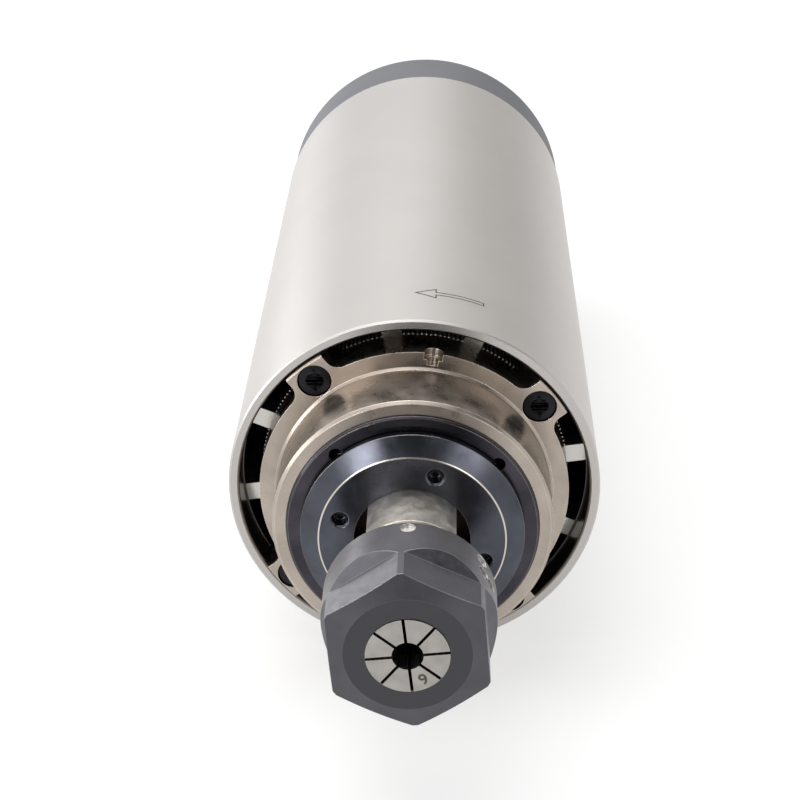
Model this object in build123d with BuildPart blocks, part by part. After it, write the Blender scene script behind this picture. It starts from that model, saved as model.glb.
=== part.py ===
from build123d import *
import os
from math import cos, hypot, pi, radians, sin, tan

# Air-cooled motor spindle with a four-eared nose flange and an ER20 collet nut.
# Millimetres. The axis is Y, the nose points to -Y and +Z is up.
# The origin is on the axis, in the plane of the shell's front rim.

os.makedirs("parts", exist_ok=True)

# Body shell and rear cap
body_diameter = 80.0
shell_wall = 2.3
shell_length = 167.8
rim_bore_chamfer = 0.5
rim_edge_chamfer = 0.4
cap_length = 27.2
cap_step = 0.5
cap_wall = 3.0
cap_edge_radius = 10.0
cap_cavity_chamfer = 3.5
cap_spigot_length = 5.0
cap_post_diameter = 7.6
vent_count = 18
vent_width = 2.6
vent_start_angle = 0.0
vent_socket_margin = 4.5
vent_edge_margin = 3.0

# Finned inner housing
rib_face_depth = 8.0
housing_rear_setback = 19.8
rib_height = 4.2
core_wall = 3.95
rib_count = 12
rib_width = 4.1
rib_start_angle = 8.5
screw_rib_width = 9.0
serration_count = 216
serration_height = 0.45
slip_clearance = 0.05

# Nose flange and boss
flange_projection = 1.0
ear_count = 4
ear_length = 4.4
ear_width = 9.4
ear_start_angle = 38.5
ear_fillet = 3.0
ear_clearance = 0.1
ear_chamfer = 0.3
boss_shoulder = 3.85
boss_height = 15.2
boss_chamfer = 0.6
boss_foot_chamfer = 0.5
flange_spigot_length = 12.0
lip_bore_diameter = 37.0
index_hole_angle = 83.0
index_hole_setback = 0.6
index_hole_diameter = 4.1
index_hole_depth = 1.6
index_drill_diameter = 2.5
index_drill_depth = 1.2

# Socket head screws, M4
screw_edge_distance = 4.0
screw_diameter = 4.0
screw_head_diameter = 7.0
screw_head_height = 4.0
screw_socket_width = 3.0
screw_socket_depth = 2.2
screw_hole_clearance = 0.25
head_clearance = 0.15
head_sink = 0.2
thread_clearance = 0.05
thread_run_out = 1.0
flange_screw_length = 16.0

# Gland ring
gland_wall = 3.0
gland_thickness = 5.0
gland_projection = 0.8
gland_chamfer = 0.4
gland_bore_clearance = 0.5
gland_fit = 0.05
gland_hole_count = 4
gland_hole_diameter = 3.0
gland_hole_inset = 2.95
gland_hole_start_angle = 42.0
gland_hole_depth = 3.0

# Front bearing pair, 25 x 47 x 12, and its spacers
front_bearing_bore = 25.0
gland_lip = 2.85
front_bearing_width = 12.0
front_spacer_width = 4.0
ring_wall = 3.3
spacer_step = 0.4

# Rear bearing, 15 x 32 x 9, and its preload
rear_bearing_bore = 15.0
rear_bearing_outside = 32.0
rear_bearing_width = 9.0
rear_ring_wall = 2.4
preload_gap = 2.0
preload_spring_thickness = 0.6
preload_spring_width = 3.0
preload_spring_clearance = 0.2

# Rear bearing housing
rear_plate_thickness = 10.0
rear_spigot_length = 8.0
rear_lip_thickness = 3.0
rear_lip_bore = 24.0
rear_screw_length = 18.0
cap_screw_seat_depth = 6.0
cap_screw_start_angle = 83.5

# Stator and rotor
stator_setback = 34.0
winding_rear_gap = 6.0
stator_depth = 9.5
air_gap = 0.4
winding_overhang = 10.0
winding_housing_gap = 1.5
winding_rotor_gap = 1.9
end_ring_step = 0.6
end_ring_inside_diameter = 27.0
end_ring_length = 6.0

# Shaft
nose_thread_step = 0.08
nose_journal_step = 0.5
nose_relief_depth = 1.02
nose_relief_width = 1.2
nose_relief_front = 35.0
nose_chamfer = 0.8
flats_across = 18.0
flats_front = 39.0
flats_rear = 20.0
collar_diameter = 31.0
collar_width = 4.0
waist_diameter = 24.0
rotor_seat_diameter = 20.0
rear_shoulder_step = 1.0
fan_seat_diameter = 12.0
shaft_bore_diameter = 13.0
shaft_bore_relief = 14.0
drill_point_angle = 31.0

# Dust flange, the clamping nut of the front pair
dust_rim_inset = 3.1
dust_rim_width = 1.3
dust_cone_height = 2.6
dust_gap = 0.5
dust_bore_clearance = 0.02
dust_hole_count = 4
dust_hole_diameter = 3.1
dust_hole_circle = 31.2
dust_hole_depth = 3.0
dust_hole_chamfer = 0.4
dust_hole_margin = 2.1
dust_hole_start_angle = 72.5

# Rear lock nut, fan and fan screw
lock_nut_diameter = 24.0
lock_nut_width = 6.0
lock_nut_slots = 4
lock_nut_slot_width = 4.0
lock_nut_slot_depth = 1.8
fan_post_gap = 0.8
fan_hub_diameter = 25.0
fan_hub_length = 12.0
fan_blade_count = 9
fan_blade_thickness = 1.6
fan_blade_chord = 12.5
fan_root_pitch = 52.0
fan_tip_pitch = 36.0
fan_root_overlap = 1.5
fan_screw_diameter = 5.0
fan_screw_length = 14.0
fan_washer_diameter = 16.0
fan_washer_thickness = 1.5
fan_head_diameter = 8.5
fan_head_height = 5.0
fan_socket_width = 4.0
fan_socket_depth = 2.5

# Collet, ER20 size
tool_diameter = 6.0
collet_length = 31.5
collet_face_ahead = 63.2
collet_nose_diameter = 16.0
collet_nose_land = 1.1
collet_cone_diameter = 18.6
collet_cone_angle = 30.0
collet_cone_land = 0.7
collet_groove_diameter = 16.8
collet_groove_width = 1.9
collet_diameter = 21.0
collet_land = 1.0
collet_taper_angle = 8.0
collet_slot_count = 8
collet_slot_width = 0.6
collet_slot_length = 27.0
collet_slot_start_angle = 6.5
collet_overhang = 2.3
taper_clearance = 0.03

# Collet nut, 30 mm across flats
nut_face_setback = 0.3
nut_length = 20.5
nut_diameter = 34.0
nut_across_flats = 30.0
nut_flat_length = 9.1
nut_ramp_length = 2.5
nut_face_diameter = 24.4
nut_face_cone_height = 1.4
nut_rear_chamfer = 0.8
nut_corner_angle = 95.0
nut_thread_clearance = 0.08
nut_cone_clearance = 0.06
nut_pocket_clearance = 0.7
nut_pocket_length = 3.1
ring_thickness = 1.4
ring_hole_clearance = 0.7
ring_eccentricity = 0.35
# Balance drillings round the nut: angle, distance behind its face
balance_spots = ((91.5, 17.9), (34.8, 17.8), (33.3, 14.3), (22.6, 14.2))
balance_spot_diameter = 3.0
balance_spot_depth = 0.6

# Panel socket in the cap
socket_diameter = 15.6
socket_flange_diameter = 20.0
socket_flange_thickness = 2.0
socket_projection = 9.0
socket_depth = 6.0
socket_bore_diameter = 12.6
socket_nut_width = 19.0
socket_nut_thickness = 2.5
insert_length = 6.0
insert_projection = 0.5
pin_count = 4
pin_diameter = 1.6
pin_circle = 6.6
pin_start_angle = 45.0
pin_length = 12.0
pin_tail_length = 2.0

# How far a cutting or joining profile runs past the face it meets
overrun = 1.0


def across(y):
    """Sketch plane across the axis at y, seen from the nose: sketch x is X, sketch y is Z."""
    return Plane.XZ.offset(-y)


def ring_of(radius, count, start_angle):
    """Places on a circle round the axis, turned to face outwards."""
    return PolarLocations(radius, count, start_angle=start_angle)


def spun(points, mode=Mode.ADD):
    """Solid of revolution round the axis from (radius, y) corners, in the current BuildPart."""
    with BuildSketch(Plane.XY) as profile:
        with BuildLine():
            Polyline(*points, close=True)
        make_face()
    revolve(profile.sketch, axis=Axis.Y, mode=mode)


def tube(outer_radius, inner_radius, front, rear):
    """Plain ring between two planes, in the current BuildPart."""
    with BuildSketch(across(rear)) as section:
        Circle(outer_radius)
        Circle(inner_radius, mode=Mode.SUBTRACT)
    extrude(section.sketch, amount=rear - front)


def disc(radius, front, rear, mode=Mode.ADD):
    """Plain round disc or hole on the axis between two planes, in the current BuildPart."""
    with BuildSketch(across(rear)) as section:
        Circle(radius)
    extrude(section.sketch, amount=rear - front, mode=mode)


def drill(radius, circle_radius, count, start_angle, front, rear):
    """Round holes on a circle between two planes, in the current BuildPart."""
    with BuildSketch(across(rear)) as section:
        with ring_of(circle_radius, count, start_angle):
            Circle(radius)
    extrude(section.sketch, amount=rear - front, mode=Mode.SUBTRACT)


def front_rim(part):
    """Circular edges in the foremost plane of a part, from the smallest to the largest."""
    return part.edges().filter_by(GeomType.CIRCLE).group_by(Axis.Y)[0].sort_by(SortBy.RADIUS)


def rear_rim(part):
    """Circular edges in the rearmost plane of a part, from the smallest to the largest."""
    return part.edges().filter_by(GeomType.CIRCLE).group_by(Axis.Y)[-1].sort_by(SortBy.RADIUS)


def of_radius(edges, radius):
    """The circular edges that have a radius."""
    return [edge for edge in edges if abs(edge.radius - radius) < slip_clearance / 2]


def outward(angle):
    """Unit vector square to the axis, at an angle from +X towards +Z."""
    return Vector(cos(radians(angle)), 0, sin(radians(angle)))


def save(part, name):
    part.label = name
    export_step(part, f"parts/{name}.step")


def socket_screw(head_y, circle_radius, angle, length, rearward):
    """Socket head screw: its head's outer face lies at head_y and its shank points away from it."""
    spot = outward(angle) * circle_radius + Vector(0, head_y, 0)
    inward = Vector(0, 1, 0) if rearward else Vector(0, -1, 0)
    face = Plane(origin=spot, x_dir=(1, 0, 0), z_dir=inward)
    with BuildPart() as screw:
        with BuildSketch(face):
            Circle(screw_head_diameter / 2)
        extrude(amount=screw_head_height)
        with BuildSketch(face.offset(screw_head_height)):
            Circle(screw_diameter / 2)
        extrude(amount=length)
        with BuildSketch(face):
            RegularPolygon(screw_socket_width / 2, 6, major_radius=False)
        extrude(amount=screw_socket_depth, mode=Mode.SUBTRACT)
    return screw.part


# Derived radii, from the shell inwards
body_radius = body_diameter / 2
shell_bore_radius = body_radius - shell_wall
rib_radius = shell_bore_radius - slip_clearance
core_radius = rib_radius - rib_height
stator_radius = core_radius - core_wall
spigot_radius = stator_radius - slip_clearance
ear_radius = shell_bore_radius - ear_clearance
screw_circle_radius = ear_radius - screw_edge_distance
flange_radius = ear_radius - ear_length
boss_radius = flange_radius - boss_shoulder
gland_radius = boss_radius - gland_wall
front_bearing_radius = gland_radius - gland_lip
dust_radius = gland_radius - dust_rim_inset
front_seat_radius = front_bearing_bore / 2
front_inner_radius = front_seat_radius + ring_wall
rear_seat_radius = rear_bearing_bore / 2
cap_radius = body_radius - cap_step
cap_post_radius = cap_post_diameter / 2
fan_radius = screw_circle_radius - cap_post_radius - fan_post_gap
screw_hole_radius = screw_diameter / 2 + screw_hole_clearance
tap_radius = screw_diameter / 2 + thread_clearance
head_hole_radius = screw_head_diameter / 2 + head_clearance

# Places along the axis
flange_face = -flange_projection
boss_face = flange_face - boss_height
gland_face = boss_face - gland_projection
gland_seat = gland_face + gland_thickness
spacer_front = gland_seat + front_bearing_width
second_bearing_face = spacer_front + front_spacer_width
front_pack_rear = second_bearing_face + front_bearing_width
cap_rear = shell_length + cap_length
housing_rear = shell_length - housing_rear_setback
rear_plate_rear = housing_rear + rear_plate_thickness
rear_spigot_front = housing_rear - rear_spigot_length
preload_seat = rear_spigot_front + rear_lip_thickness
rear_bearing_face = preload_seat + preload_gap
lock_nut_face = rear_bearing_face + rear_bearing_width
fan_face = lock_nut_face + lock_nut_width
fan_rear = fan_face + fan_hub_length
dust_rear = gland_face - dust_gap
dust_cone_foot = dust_rear - dust_rim_width
dust_face = dust_cone_foot - dust_cone_height
stator_rear = rear_spigot_front - winding_overhang - winding_rear_gap

# Collet stations, from its front face back
collet_front = -collet_face_ahead
collet_rear = collet_front + collet_length
nose_land_end = collet_front + collet_nose_land
cone_rise = (collet_cone_diameter - collet_nose_diameter) / 2
cone_end = nose_land_end + cone_rise / tan(radians(collet_cone_angle))
groove_front = cone_end + collet_cone_land
groove_rear = groove_front + collet_groove_width
taper_start = groove_rear + collet_land
taper_slope = tan(radians(collet_taper_angle))
collet_rear_radius = collet_diameter / 2 - taper_slope * (collet_rear - taper_start)
shaft_front = taper_start + collet_overhang


# Outer shell: plain tube with a bevelled front rim
with BuildPart() as outer_shell:
    tube(body_radius, shell_bore_radius, 0, shell_length)
    rim = front_rim(outer_shell)
    chamfer(rim[0], rim_bore_chamfer)
    chamfer(rim[-1], rim_edge_chamfer)
save(outer_shell.part, "outer_shell")


# Inner housing: serrated tube with radial ribs that carry the shell and leave air channels
def serrated_outline():
    """Closed V-tooth outline, two points for each tooth."""
    step = pi / serration_count
    points = []
    for index in range(2 * serration_count):
        radius = core_radius if index % 2 else core_radius - serration_height
        points.append((radius * cos(index * step), radius * sin(index * step)))
    return points


with BuildPart() as inner_housing:
    rib_root = core_radius - overrun
    rib_reach = rib_height + 2 * overrun
    with BuildSketch(across(housing_rear)):
        with BuildLine():
            Polyline(*serrated_outline(), close=True)
        make_face()
        with ring_of(rib_root + rib_reach / 2, rib_count, rib_start_angle):
            Rectangle(rib_reach, rib_width)
        with ring_of(rib_root + rib_reach / 2, ear_count, ear_start_angle):
            Rectangle(rib_reach, screw_rib_width)
        Circle(rib_radius, mode=Mode.INTERSECT)
        Circle(stator_radius, mode=Mode.SUBTRACT)
    extrude(amount=housing_rear - rib_face_depth)
    front_tap_end = rib_face_depth + flange_screw_length
    drill(tap_radius, screw_circle_radius, ear_count, ear_start_angle, rib_face_depth, front_tap_end)
    rear_tap_end = housing_rear - rear_screw_length
    drill(tap_radius, screw_circle_radius, ear_count, ear_start_angle, rear_tap_end, housing_rear)
save(inner_housing.part, "inner_housing")


# Nose flange: eared plate, boss, bearing bore and spigot in one turned and milled piece
def eared_plate(front, rear, start_angles, root_fillet):
    """Disc with parallel-sided ears, in the current BuildPart."""
    ear_root = flange_radius - 2 * overrun
    ear_reach = ear_length + 3 * overrun
    with BuildSketch(across(rear)) as plate:
        Circle(flange_radius)
        for angle in start_angles:
            with ring_of(ear_root + ear_reach / 2, ear_count, angle):
                Rectangle(ear_reach, ear_width)
        Circle(ear_radius, mode=Mode.INTERSECT)
        roots = [v for v in plate.vertices() if hypot(v.X, v.Y) < (flange_radius + ear_radius) / 2]
        if root_fillet:
            fillet(roots, root_fillet)
    extrude(plate.sketch, amount=rear - front)


head_seat = flange_face + head_sink + screw_head_height
lip_bore_radius = lip_bore_diameter / 2
with BuildPart() as front_flange:
    eared_plate(flange_face, rib_face_depth, [ear_start_angle], ear_fillet)
    chamfer(of_radius(front_rim(front_flange), ear_radius), ear_chamfer)
    spigot_rear = rib_face_depth + flange_spigot_length
    tube(spigot_radius, lip_bore_radius, rib_face_depth, spigot_rear)
    tube(boss_radius, lip_bore_radius, boss_face, flange_face)
    chamfer(front_rim(front_flange)[-1], boss_chamfer)
    # Bevel at the boss's foot
    spun([
        (boss_radius - overrun, flange_face),
        (boss_radius + boss_foot_chamfer, flange_face),
        (boss_radius, flange_face - boss_foot_chamfer),
        (boss_radius - overrun, flange_face - boss_foot_chamfer),
    ])
    disc(lip_bore_radius, boss_face, spigot_rear, Mode.SUBTRACT)
    disc(front_bearing_radius, boss_face, front_pack_rear, Mode.SUBTRACT)
    disc(gland_radius + gland_fit, boss_face, gland_seat, Mode.SUBTRACT)
    drill(screw_hole_radius, screw_circle_radius, ear_count, ear_start_angle, flange_face, rib_face_depth)
    drill(head_hole_radius, screw_circle_radius, ear_count, ear_start_angle, flange_face, head_seat)
    # Index hole: drilled from outside in the plate's edge, its counterbore breaks the front face
    index_axis = Vector(0, flange_face + index_hole_setback, 0)
    index_out = outward(index_hole_angle)
    index_plane = Plane(origin=index_axis + index_out * flange_radius, x_dir=(0, 1, 0), z_dir=index_out)
    with BuildSketch(index_plane.offset(overrun)):
        Circle(index_hole_diameter / 2)
    extrude(amount=-index_hole_depth - overrun, mode=Mode.SUBTRACT)
    with BuildSketch(index_plane):
        Circle(index_drill_diameter / 2)
    extrude(amount=-index_hole_depth - index_drill_depth, mode=Mode.SUBTRACT)
save(front_flange.part, "front_flange")


def screw_set(start_angle, head_y, length, rearward):
    """Identical socket head screws on the screw circle, as separate solids."""
    angles = [start_angle + 360 / ear_count * index for index in range(ear_count)]
    return Compound([socket_screw(head_y, screw_circle_radius, a, length, rearward) for a in angles])


flange_shank = front_tap_end - thread_run_out - head_seat
flange_screws = screw_set(ear_start_angle, flange_face + head_sink, flange_shank, True)
save(flange_screws, "flange_screws")


# Gland ring: closes the bearing bore, with pin-spanner holes in its face
with BuildPart() as gland_ring:
    tube(gland_radius, front_inner_radius + gland_bore_clearance, gland_face, gland_seat)
    chamfer(front_rim(gland_ring)[-1], gland_chamfer)
    gland_hole_radius = gland_hole_diameter / 2
    gland_hole_circle = gland_radius - gland_hole_inset
    spots = (gland_hole_circle, gland_hole_count, gland_hole_start_angle)
    drill(gland_hole_radius, *spots, gland_face, gland_face + gland_hole_depth)
save(gland_ring.part, "gland_ring")


# Bearing rings, plain in section, and the spacers between the front pair
with BuildPart() as front_bearing_outers:
    for face in (gland_seat, second_bearing_face):
        tube(front_bearing_radius, front_bearing_radius - ring_wall, face, face + front_bearing_width)
save(front_bearing_outers.part, "front_bearing_outers")

with BuildPart() as front_bearing_inners:
    for face in (gland_seat, second_bearing_face):
        tube(front_inner_radius, front_seat_radius, face, face + front_bearing_width)
save(front_bearing_inners.part, "front_bearing_inners")

with BuildPart() as outer_spacer:
    tube(front_bearing_radius, front_bearing_radius - ring_wall, spacer_front, second_bearing_face)
save(outer_spacer.part, "outer_spacer")

with BuildPart() as inner_spacer:
    tube(front_inner_radius - spacer_step, front_seat_radius, spacer_front, second_bearing_face)
save(inner_spacer.part, "inner_spacer")

rear_bearing_radius = rear_bearing_outside / 2
with BuildPart() as rear_bearing_outer:
    tube(rear_bearing_radius, rear_bearing_radius - rear_ring_wall, rear_bearing_face, lock_nut_face)
save(rear_bearing_outer.part, "rear_bearing_outer")

with BuildPart() as rear_bearing_inner:
    tube(rear_seat_radius + rear_ring_wall, rear_seat_radius, rear_bearing_face, lock_nut_face)
save(rear_bearing_inner.part, "rear_bearing_inner")


# Stator: laminated stack pressed in the housing, with its end windings
stator_bore_radius = stator_radius - stator_depth
rotor_radius = stator_bore_radius - air_gap
with BuildPart() as stator_core:
    tube(stator_radius, stator_bore_radius, stator_setback, stator_rear)
save(stator_core.part, "stator_core")

winding_outer = stator_radius - winding_housing_gap
winding_inner = rotor_radius + winding_rotor_gap
with BuildPart() as stator_windings:
    tube(winding_outer, winding_inner, stator_setback - winding_overhang, stator_setback)
    tube(winding_outer, winding_inner, stator_rear, stator_rear + winding_overhang)
save(stator_windings.part, "stator_windings")


# Rear bearing housing: spigot, bearing bore and eight ears, four for its own screws, four for the cap
with BuildPart() as rear_bearing_housing:
    eared_plate(housing_rear, rear_plate_rear, [ear_start_angle, cap_screw_start_angle], 0)
    tube(spigot_radius, rear_lip_bore / 2, rear_spigot_front, housing_rear)
    disc(rear_lip_bore / 2, rear_spigot_front, rear_plate_rear, Mode.SUBTRACT)
    disc(rear_bearing_radius, preload_seat, rear_plate_rear, Mode.SUBTRACT)
    drill(screw_hole_radius, screw_circle_radius, ear_count, ear_start_angle, housing_rear, rear_plate_rear)
    rear_head_seat = rear_plate_rear - head_sink - screw_head_height
    drill(head_hole_radius, screw_circle_radius, ear_count, ear_start_angle, rear_head_seat, rear_plate_rear)
    drill(tap_radius, screw_circle_radius, ear_count, cap_screw_start_angle, housing_rear, rear_plate_rear)
save(rear_bearing_housing.part, "rear_bearing_housing")

rear_shank = rear_head_seat - rear_tap_end - thread_run_out
rear_housing_screws = screw_set(ear_start_angle, rear_plate_rear - head_sink, rear_shank, False)
save(rear_housing_screws, "rear_housing_screws")

with BuildPart() as preload_spring:
    spring_outer = rear_bearing_radius - preload_spring_clearance
    spring_inner = spring_outer - preload_spring_width
    spun([
        (spring_inner, preload_seat),
        (spring_inner, preload_seat + preload_spring_thickness),
        (spring_outer, rear_bearing_face),
        (spring_outer, rear_bearing_face - preload_spring_thickness),
    ])
save(preload_spring.part, "preload_spring")


# Rear cap: rounded cup with screw posts, a spigot in the shell and an inlet grille
cap_floor = cap_rear - cap_wall
cap_spigot_front = shell_length - cap_spigot_length
cap_spigot_radius = shell_bore_radius - slip_clearance
cap_seat = cap_rear - cap_screw_seat_depth
socket_flange_radius = socket_flange_diameter / 2
with BuildPart() as rear_cap:
    disc(cap_radius, shell_length, cap_rear)
    fillet(rear_rim(rear_cap)[-1], cap_edge_radius)
    disc(cap_spigot_radius, cap_spigot_front, shell_length)
    with BuildPart(mode=Mode.PRIVATE) as cavity:
        disc(shell_bore_radius - cap_wall, cap_spigot_front, cap_floor)
        chamfer(rear_rim(cavity)[-1], cap_cavity_chamfer)
    add(cavity.part, mode=Mode.SUBTRACT)
    # Posts for the long screws, merged with the cap's wall
    with BuildSketch(across(cap_floor)) as post_ends:
        with ring_of(screw_circle_radius, ear_count, cap_screw_start_angle):
            Circle(cap_post_radius)
        Circle(cap_spigot_radius, mode=Mode.INTERSECT)
    extrude(post_ends.sketch, amount=cap_floor - rear_plate_rear)
    drill(screw_hole_radius, screw_circle_radius, ear_count, cap_screw_start_angle, rear_plate_rear, cap_rear)
    drill(head_hole_radius, screw_circle_radius, ear_count, cap_screw_start_angle, cap_seat, cap_rear)
    # Radial inlet slots round the socket
    vent_inner_radius = socket_flange_radius + vent_socket_margin
    vent_outer_radius = cap_radius - cap_edge_radius - vent_edge_margin
    vent_length = vent_outer_radius - vent_inner_radius
    with BuildSketch(across(cap_rear)) as vents:
        with ring_of(vent_inner_radius + vent_length / 2, vent_count, vent_start_angle):
            SlotOverall(vent_length, vent_width)
    extrude(vents.sketch, amount=cap_wall, mode=Mode.SUBTRACT)
    disc(socket_diameter / 2 + slip_clearance, cap_floor, cap_rear, Mode.SUBTRACT)
save(rear_cap.part, "rear_cap")

cap_shank = cap_seat - housing_rear - thread_run_out
cap_screws = screw_set(cap_screw_start_angle, cap_seat + screw_head_height, cap_shank, False)
save(cap_screws, "cap_screws")


# Panel socket in the cap: threaded sleeve with a flange, its nut, insulator and pins
insert_rear = cap_rear + insert_projection
insert_front = insert_rear - insert_length
socket_bore_radius = socket_bore_diameter / 2
with BuildPart() as power_socket:
    tube(socket_diameter / 2, socket_bore_radius, cap_floor - socket_depth, cap_rear + socket_projection)
    tube(socket_flange_radius, socket_bore_radius, cap_rear, cap_rear + socket_flange_thickness)
save(power_socket.part, "power_socket")

with BuildPart() as socket_nut:
    with BuildSketch(across(cap_floor)):
        RegularPolygon(socket_nut_width / 2, 6, major_radius=False)
        Circle(socket_diameter / 2, mode=Mode.SUBTRACT)
    extrude(amount=socket_nut_thickness)
save(socket_nut.part, "socket_nut")

with BuildPart() as socket_insert:
    disc(socket_bore_radius, insert_front, insert_rear)
    drill(pin_diameter / 2, pin_circle / 2, pin_count, pin_start_angle, insert_front, insert_rear)
save(socket_insert.part, "socket_insert")

with BuildPart() as socket_pins:
    with BuildSketch(across(insert_front - pin_tail_length + pin_length)):
        with ring_of(pin_circle / 2, pin_count, pin_start_angle):
            Circle(pin_diameter / 2)
    extrude(amount=pin_length)
save(socket_pins.part, "socket_pins")


# Shaft: nose thread, flats, bearing seats, collar and tail, with the collet taper inside
nose_radius = front_seat_radius - nose_thread_step
journal_radius = front_seat_radius - nose_journal_step
relief_radius = nose_radius - nose_relief_depth
relief_rear = nose_relief_width - nose_relief_front
waist_radius = waist_diameter / 2
rotor_seat_radius = rotor_seat_diameter / 2
rear_shoulder_radius = rotor_seat_radius - rear_shoulder_step
fan_seat_radius = fan_seat_diameter / 2
collar_rear = front_pack_rear + collar_width
with BuildPart() as shaft:
    spun([
        (0, shaft_front),
        (nose_radius - nose_chamfer, shaft_front),
        (nose_radius, shaft_front + nose_chamfer),
        (nose_radius, -nose_relief_front),
        (relief_radius, -nose_relief_front),
        (relief_radius, relief_rear),
        (journal_radius, relief_rear),
        (journal_radius, gland_seat),
        (front_seat_radius, gland_seat),
        (front_seat_radius, front_pack_rear),
        (collar_diameter / 2, front_pack_rear),
        (collar_diameter / 2, collar_rear),
        (waist_radius, collar_rear),
        (waist_radius, stator_setback),
        (rotor_seat_radius, stator_setback),
        (rotor_seat_radius, stator_rear),
        (rear_shoulder_radius, stator_rear),
        (rear_shoulder_radius, rear_bearing_face),
        (rear_seat_radius, rear_bearing_face),
        (rear_seat_radius, fan_face),
        (fan_seat_radius, fan_face),
        (fan_seat_radius, fan_rear),
        (0, fan_rear),
    ])
    # Wrench flats, square to the sketch's x axis
    flat_depth = nose_radius + overrun - flats_across / 2
    with BuildSketch(across(-flats_rear)):
        with ring_of(flats_across / 2 + flat_depth / 2, 2, 0):
            Rectangle(flat_depth, 2 * nose_radius)
    extrude(amount=flats_front - flats_rear, mode=Mode.SUBTRACT)
    # Collet taper and the clearance bore behind it
    mouth_radius = collet_diameter / 2 - taper_slope * collet_overhang + taper_clearance
    throat_radius = collet_rear_radius + taper_clearance
    relief_end = collet_rear + shaft_bore_relief
    bore_radius = shaft_bore_diameter / 2
    spun([
        (0, shaft_front),
        (mouth_radius, shaft_front),
        (throat_radius, collet_rear),
        (bore_radius, collet_rear),
        (bore_radius, relief_end),
        (0, relief_end + bore_radius * tan(radians(drill_point_angle))),
    ], Mode.SUBTRACT)
    disc(fan_screw_diameter / 2 + thread_clearance, fan_rear - fan_screw_length, fan_rear, Mode.SUBTRACT)
save(shaft.part, "shaft")


# Rotor stack and the cast rings at its ends
with BuildPart() as rotor_core:
    tube(rotor_radius, rotor_seat_radius, stator_setback, stator_rear)
save(rotor_core.part, "rotor_core")

end_ring_outer = rotor_radius - end_ring_step
end_ring_inner = end_ring_inside_diameter / 2
with BuildPart() as rotor_end_rings:
    tube(end_ring_outer, end_ring_inner, stator_setback - end_ring_length, stator_setback)
    tube(end_ring_outer, end_ring_inner, stator_rear, stator_rear + end_ring_length)
save(rotor_end_rings.part, "rotor_end_rings")


# Dust flange: cone and hub that clamp the front pair, with four tapped spanner holes
dust_bore_radius = journal_radius + dust_bore_clearance
dust_hole_radius = dust_hole_diameter / 2
dust_hole_circle_radius = dust_hole_circle / 2
dust_face_radius = dust_hole_circle_radius + dust_hole_radius + dust_hole_margin
with BuildPart() as dust_flange:
    spun([
        (dust_bore_radius, gland_seat),
        (front_inner_radius, gland_seat),
        (front_inner_radius, dust_rear),
        (dust_radius, dust_rear),
        (dust_radius, dust_cone_foot),
        (dust_face_radius, dust_face),
        (dust_bore_radius, dust_face),
    ])
    spots = (dust_hole_circle_radius, dust_hole_count, dust_hole_start_angle)
    drill(dust_hole_radius, *spots, dust_face, dust_face + dust_hole_depth)
    chamfer(of_radius(front_rim(dust_flange), dust_hole_radius), dust_hole_chamfer)
save(dust_flange.part, "dust_flange")


# Rear lock nut with spanner slots
lock_nut_radius = lock_nut_diameter / 2
with BuildPart() as rear_lock_nut:
    tube(lock_nut_radius, rear_seat_radius, lock_nut_face, fan_face)
    slot_middle = lock_nut_radius + (overrun - lock_nut_slot_depth) / 2
    with BuildSketch(across(fan_face)):
        with ring_of(slot_middle, lock_nut_slots, 0):
            Rectangle(lock_nut_slot_depth + overrun, lock_nut_slot_width)
    extrude(amount=lock_nut_width, mode=Mode.SUBTRACT)
save(rear_lock_nut.part, "rear_lock_nut")


# Fan: hub with twisted blades, each lofted from root to tip
def blade_section(radius, pitch):
    """Plane square to the radius at angle zero, its x axis along the blade's tilted chord."""
    chord = Vector(0, sin(radians(pitch)), cos(radians(pitch)))
    return Plane(origin=(radius, (fan_face + fan_rear) / 2, 0), x_dir=chord, z_dir=(1, 0, 0))


fan_hub_radius = fan_hub_diameter / 2
with BuildPart() as fan_blade:
    with BuildSketch(blade_section(fan_hub_radius - fan_root_overlap, fan_root_pitch)):
        Rectangle(fan_blade_chord, fan_blade_thickness)
    with BuildSketch(blade_section(fan_radius, fan_tip_pitch)):
        Rectangle(fan_blade_chord, fan_blade_thickness)
    loft()

with BuildPart() as cooling_fan:
    disc(fan_hub_radius, fan_face, fan_rear)
    for index in range(fan_blade_count):
        add(fan_blade.part.rotate(Axis.Y, 360 / fan_blade_count * index))
    disc(fan_seat_radius, fan_face, fan_rear, Mode.SUBTRACT)
save(cooling_fan.part, "cooling_fan")

washer_rear = fan_rear + fan_washer_thickness
fan_head_rear = washer_rear + fan_head_height
with BuildPart() as fan_screw:
    disc(fan_washer_diameter / 2, fan_rear, washer_rear)
    disc(fan_head_diameter / 2, washer_rear, fan_head_rear)
    disc(fan_screw_diameter / 2, fan_rear - fan_screw_length + thread_run_out, fan_rear)
    with BuildSketch(across(fan_head_rear)):
        RegularPolygon(fan_socket_width / 2, 6, major_radius=False)
    extrude(amount=fan_socket_depth, mode=Mode.SUBTRACT)
save(fan_screw.part, "fan_screw")


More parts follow.
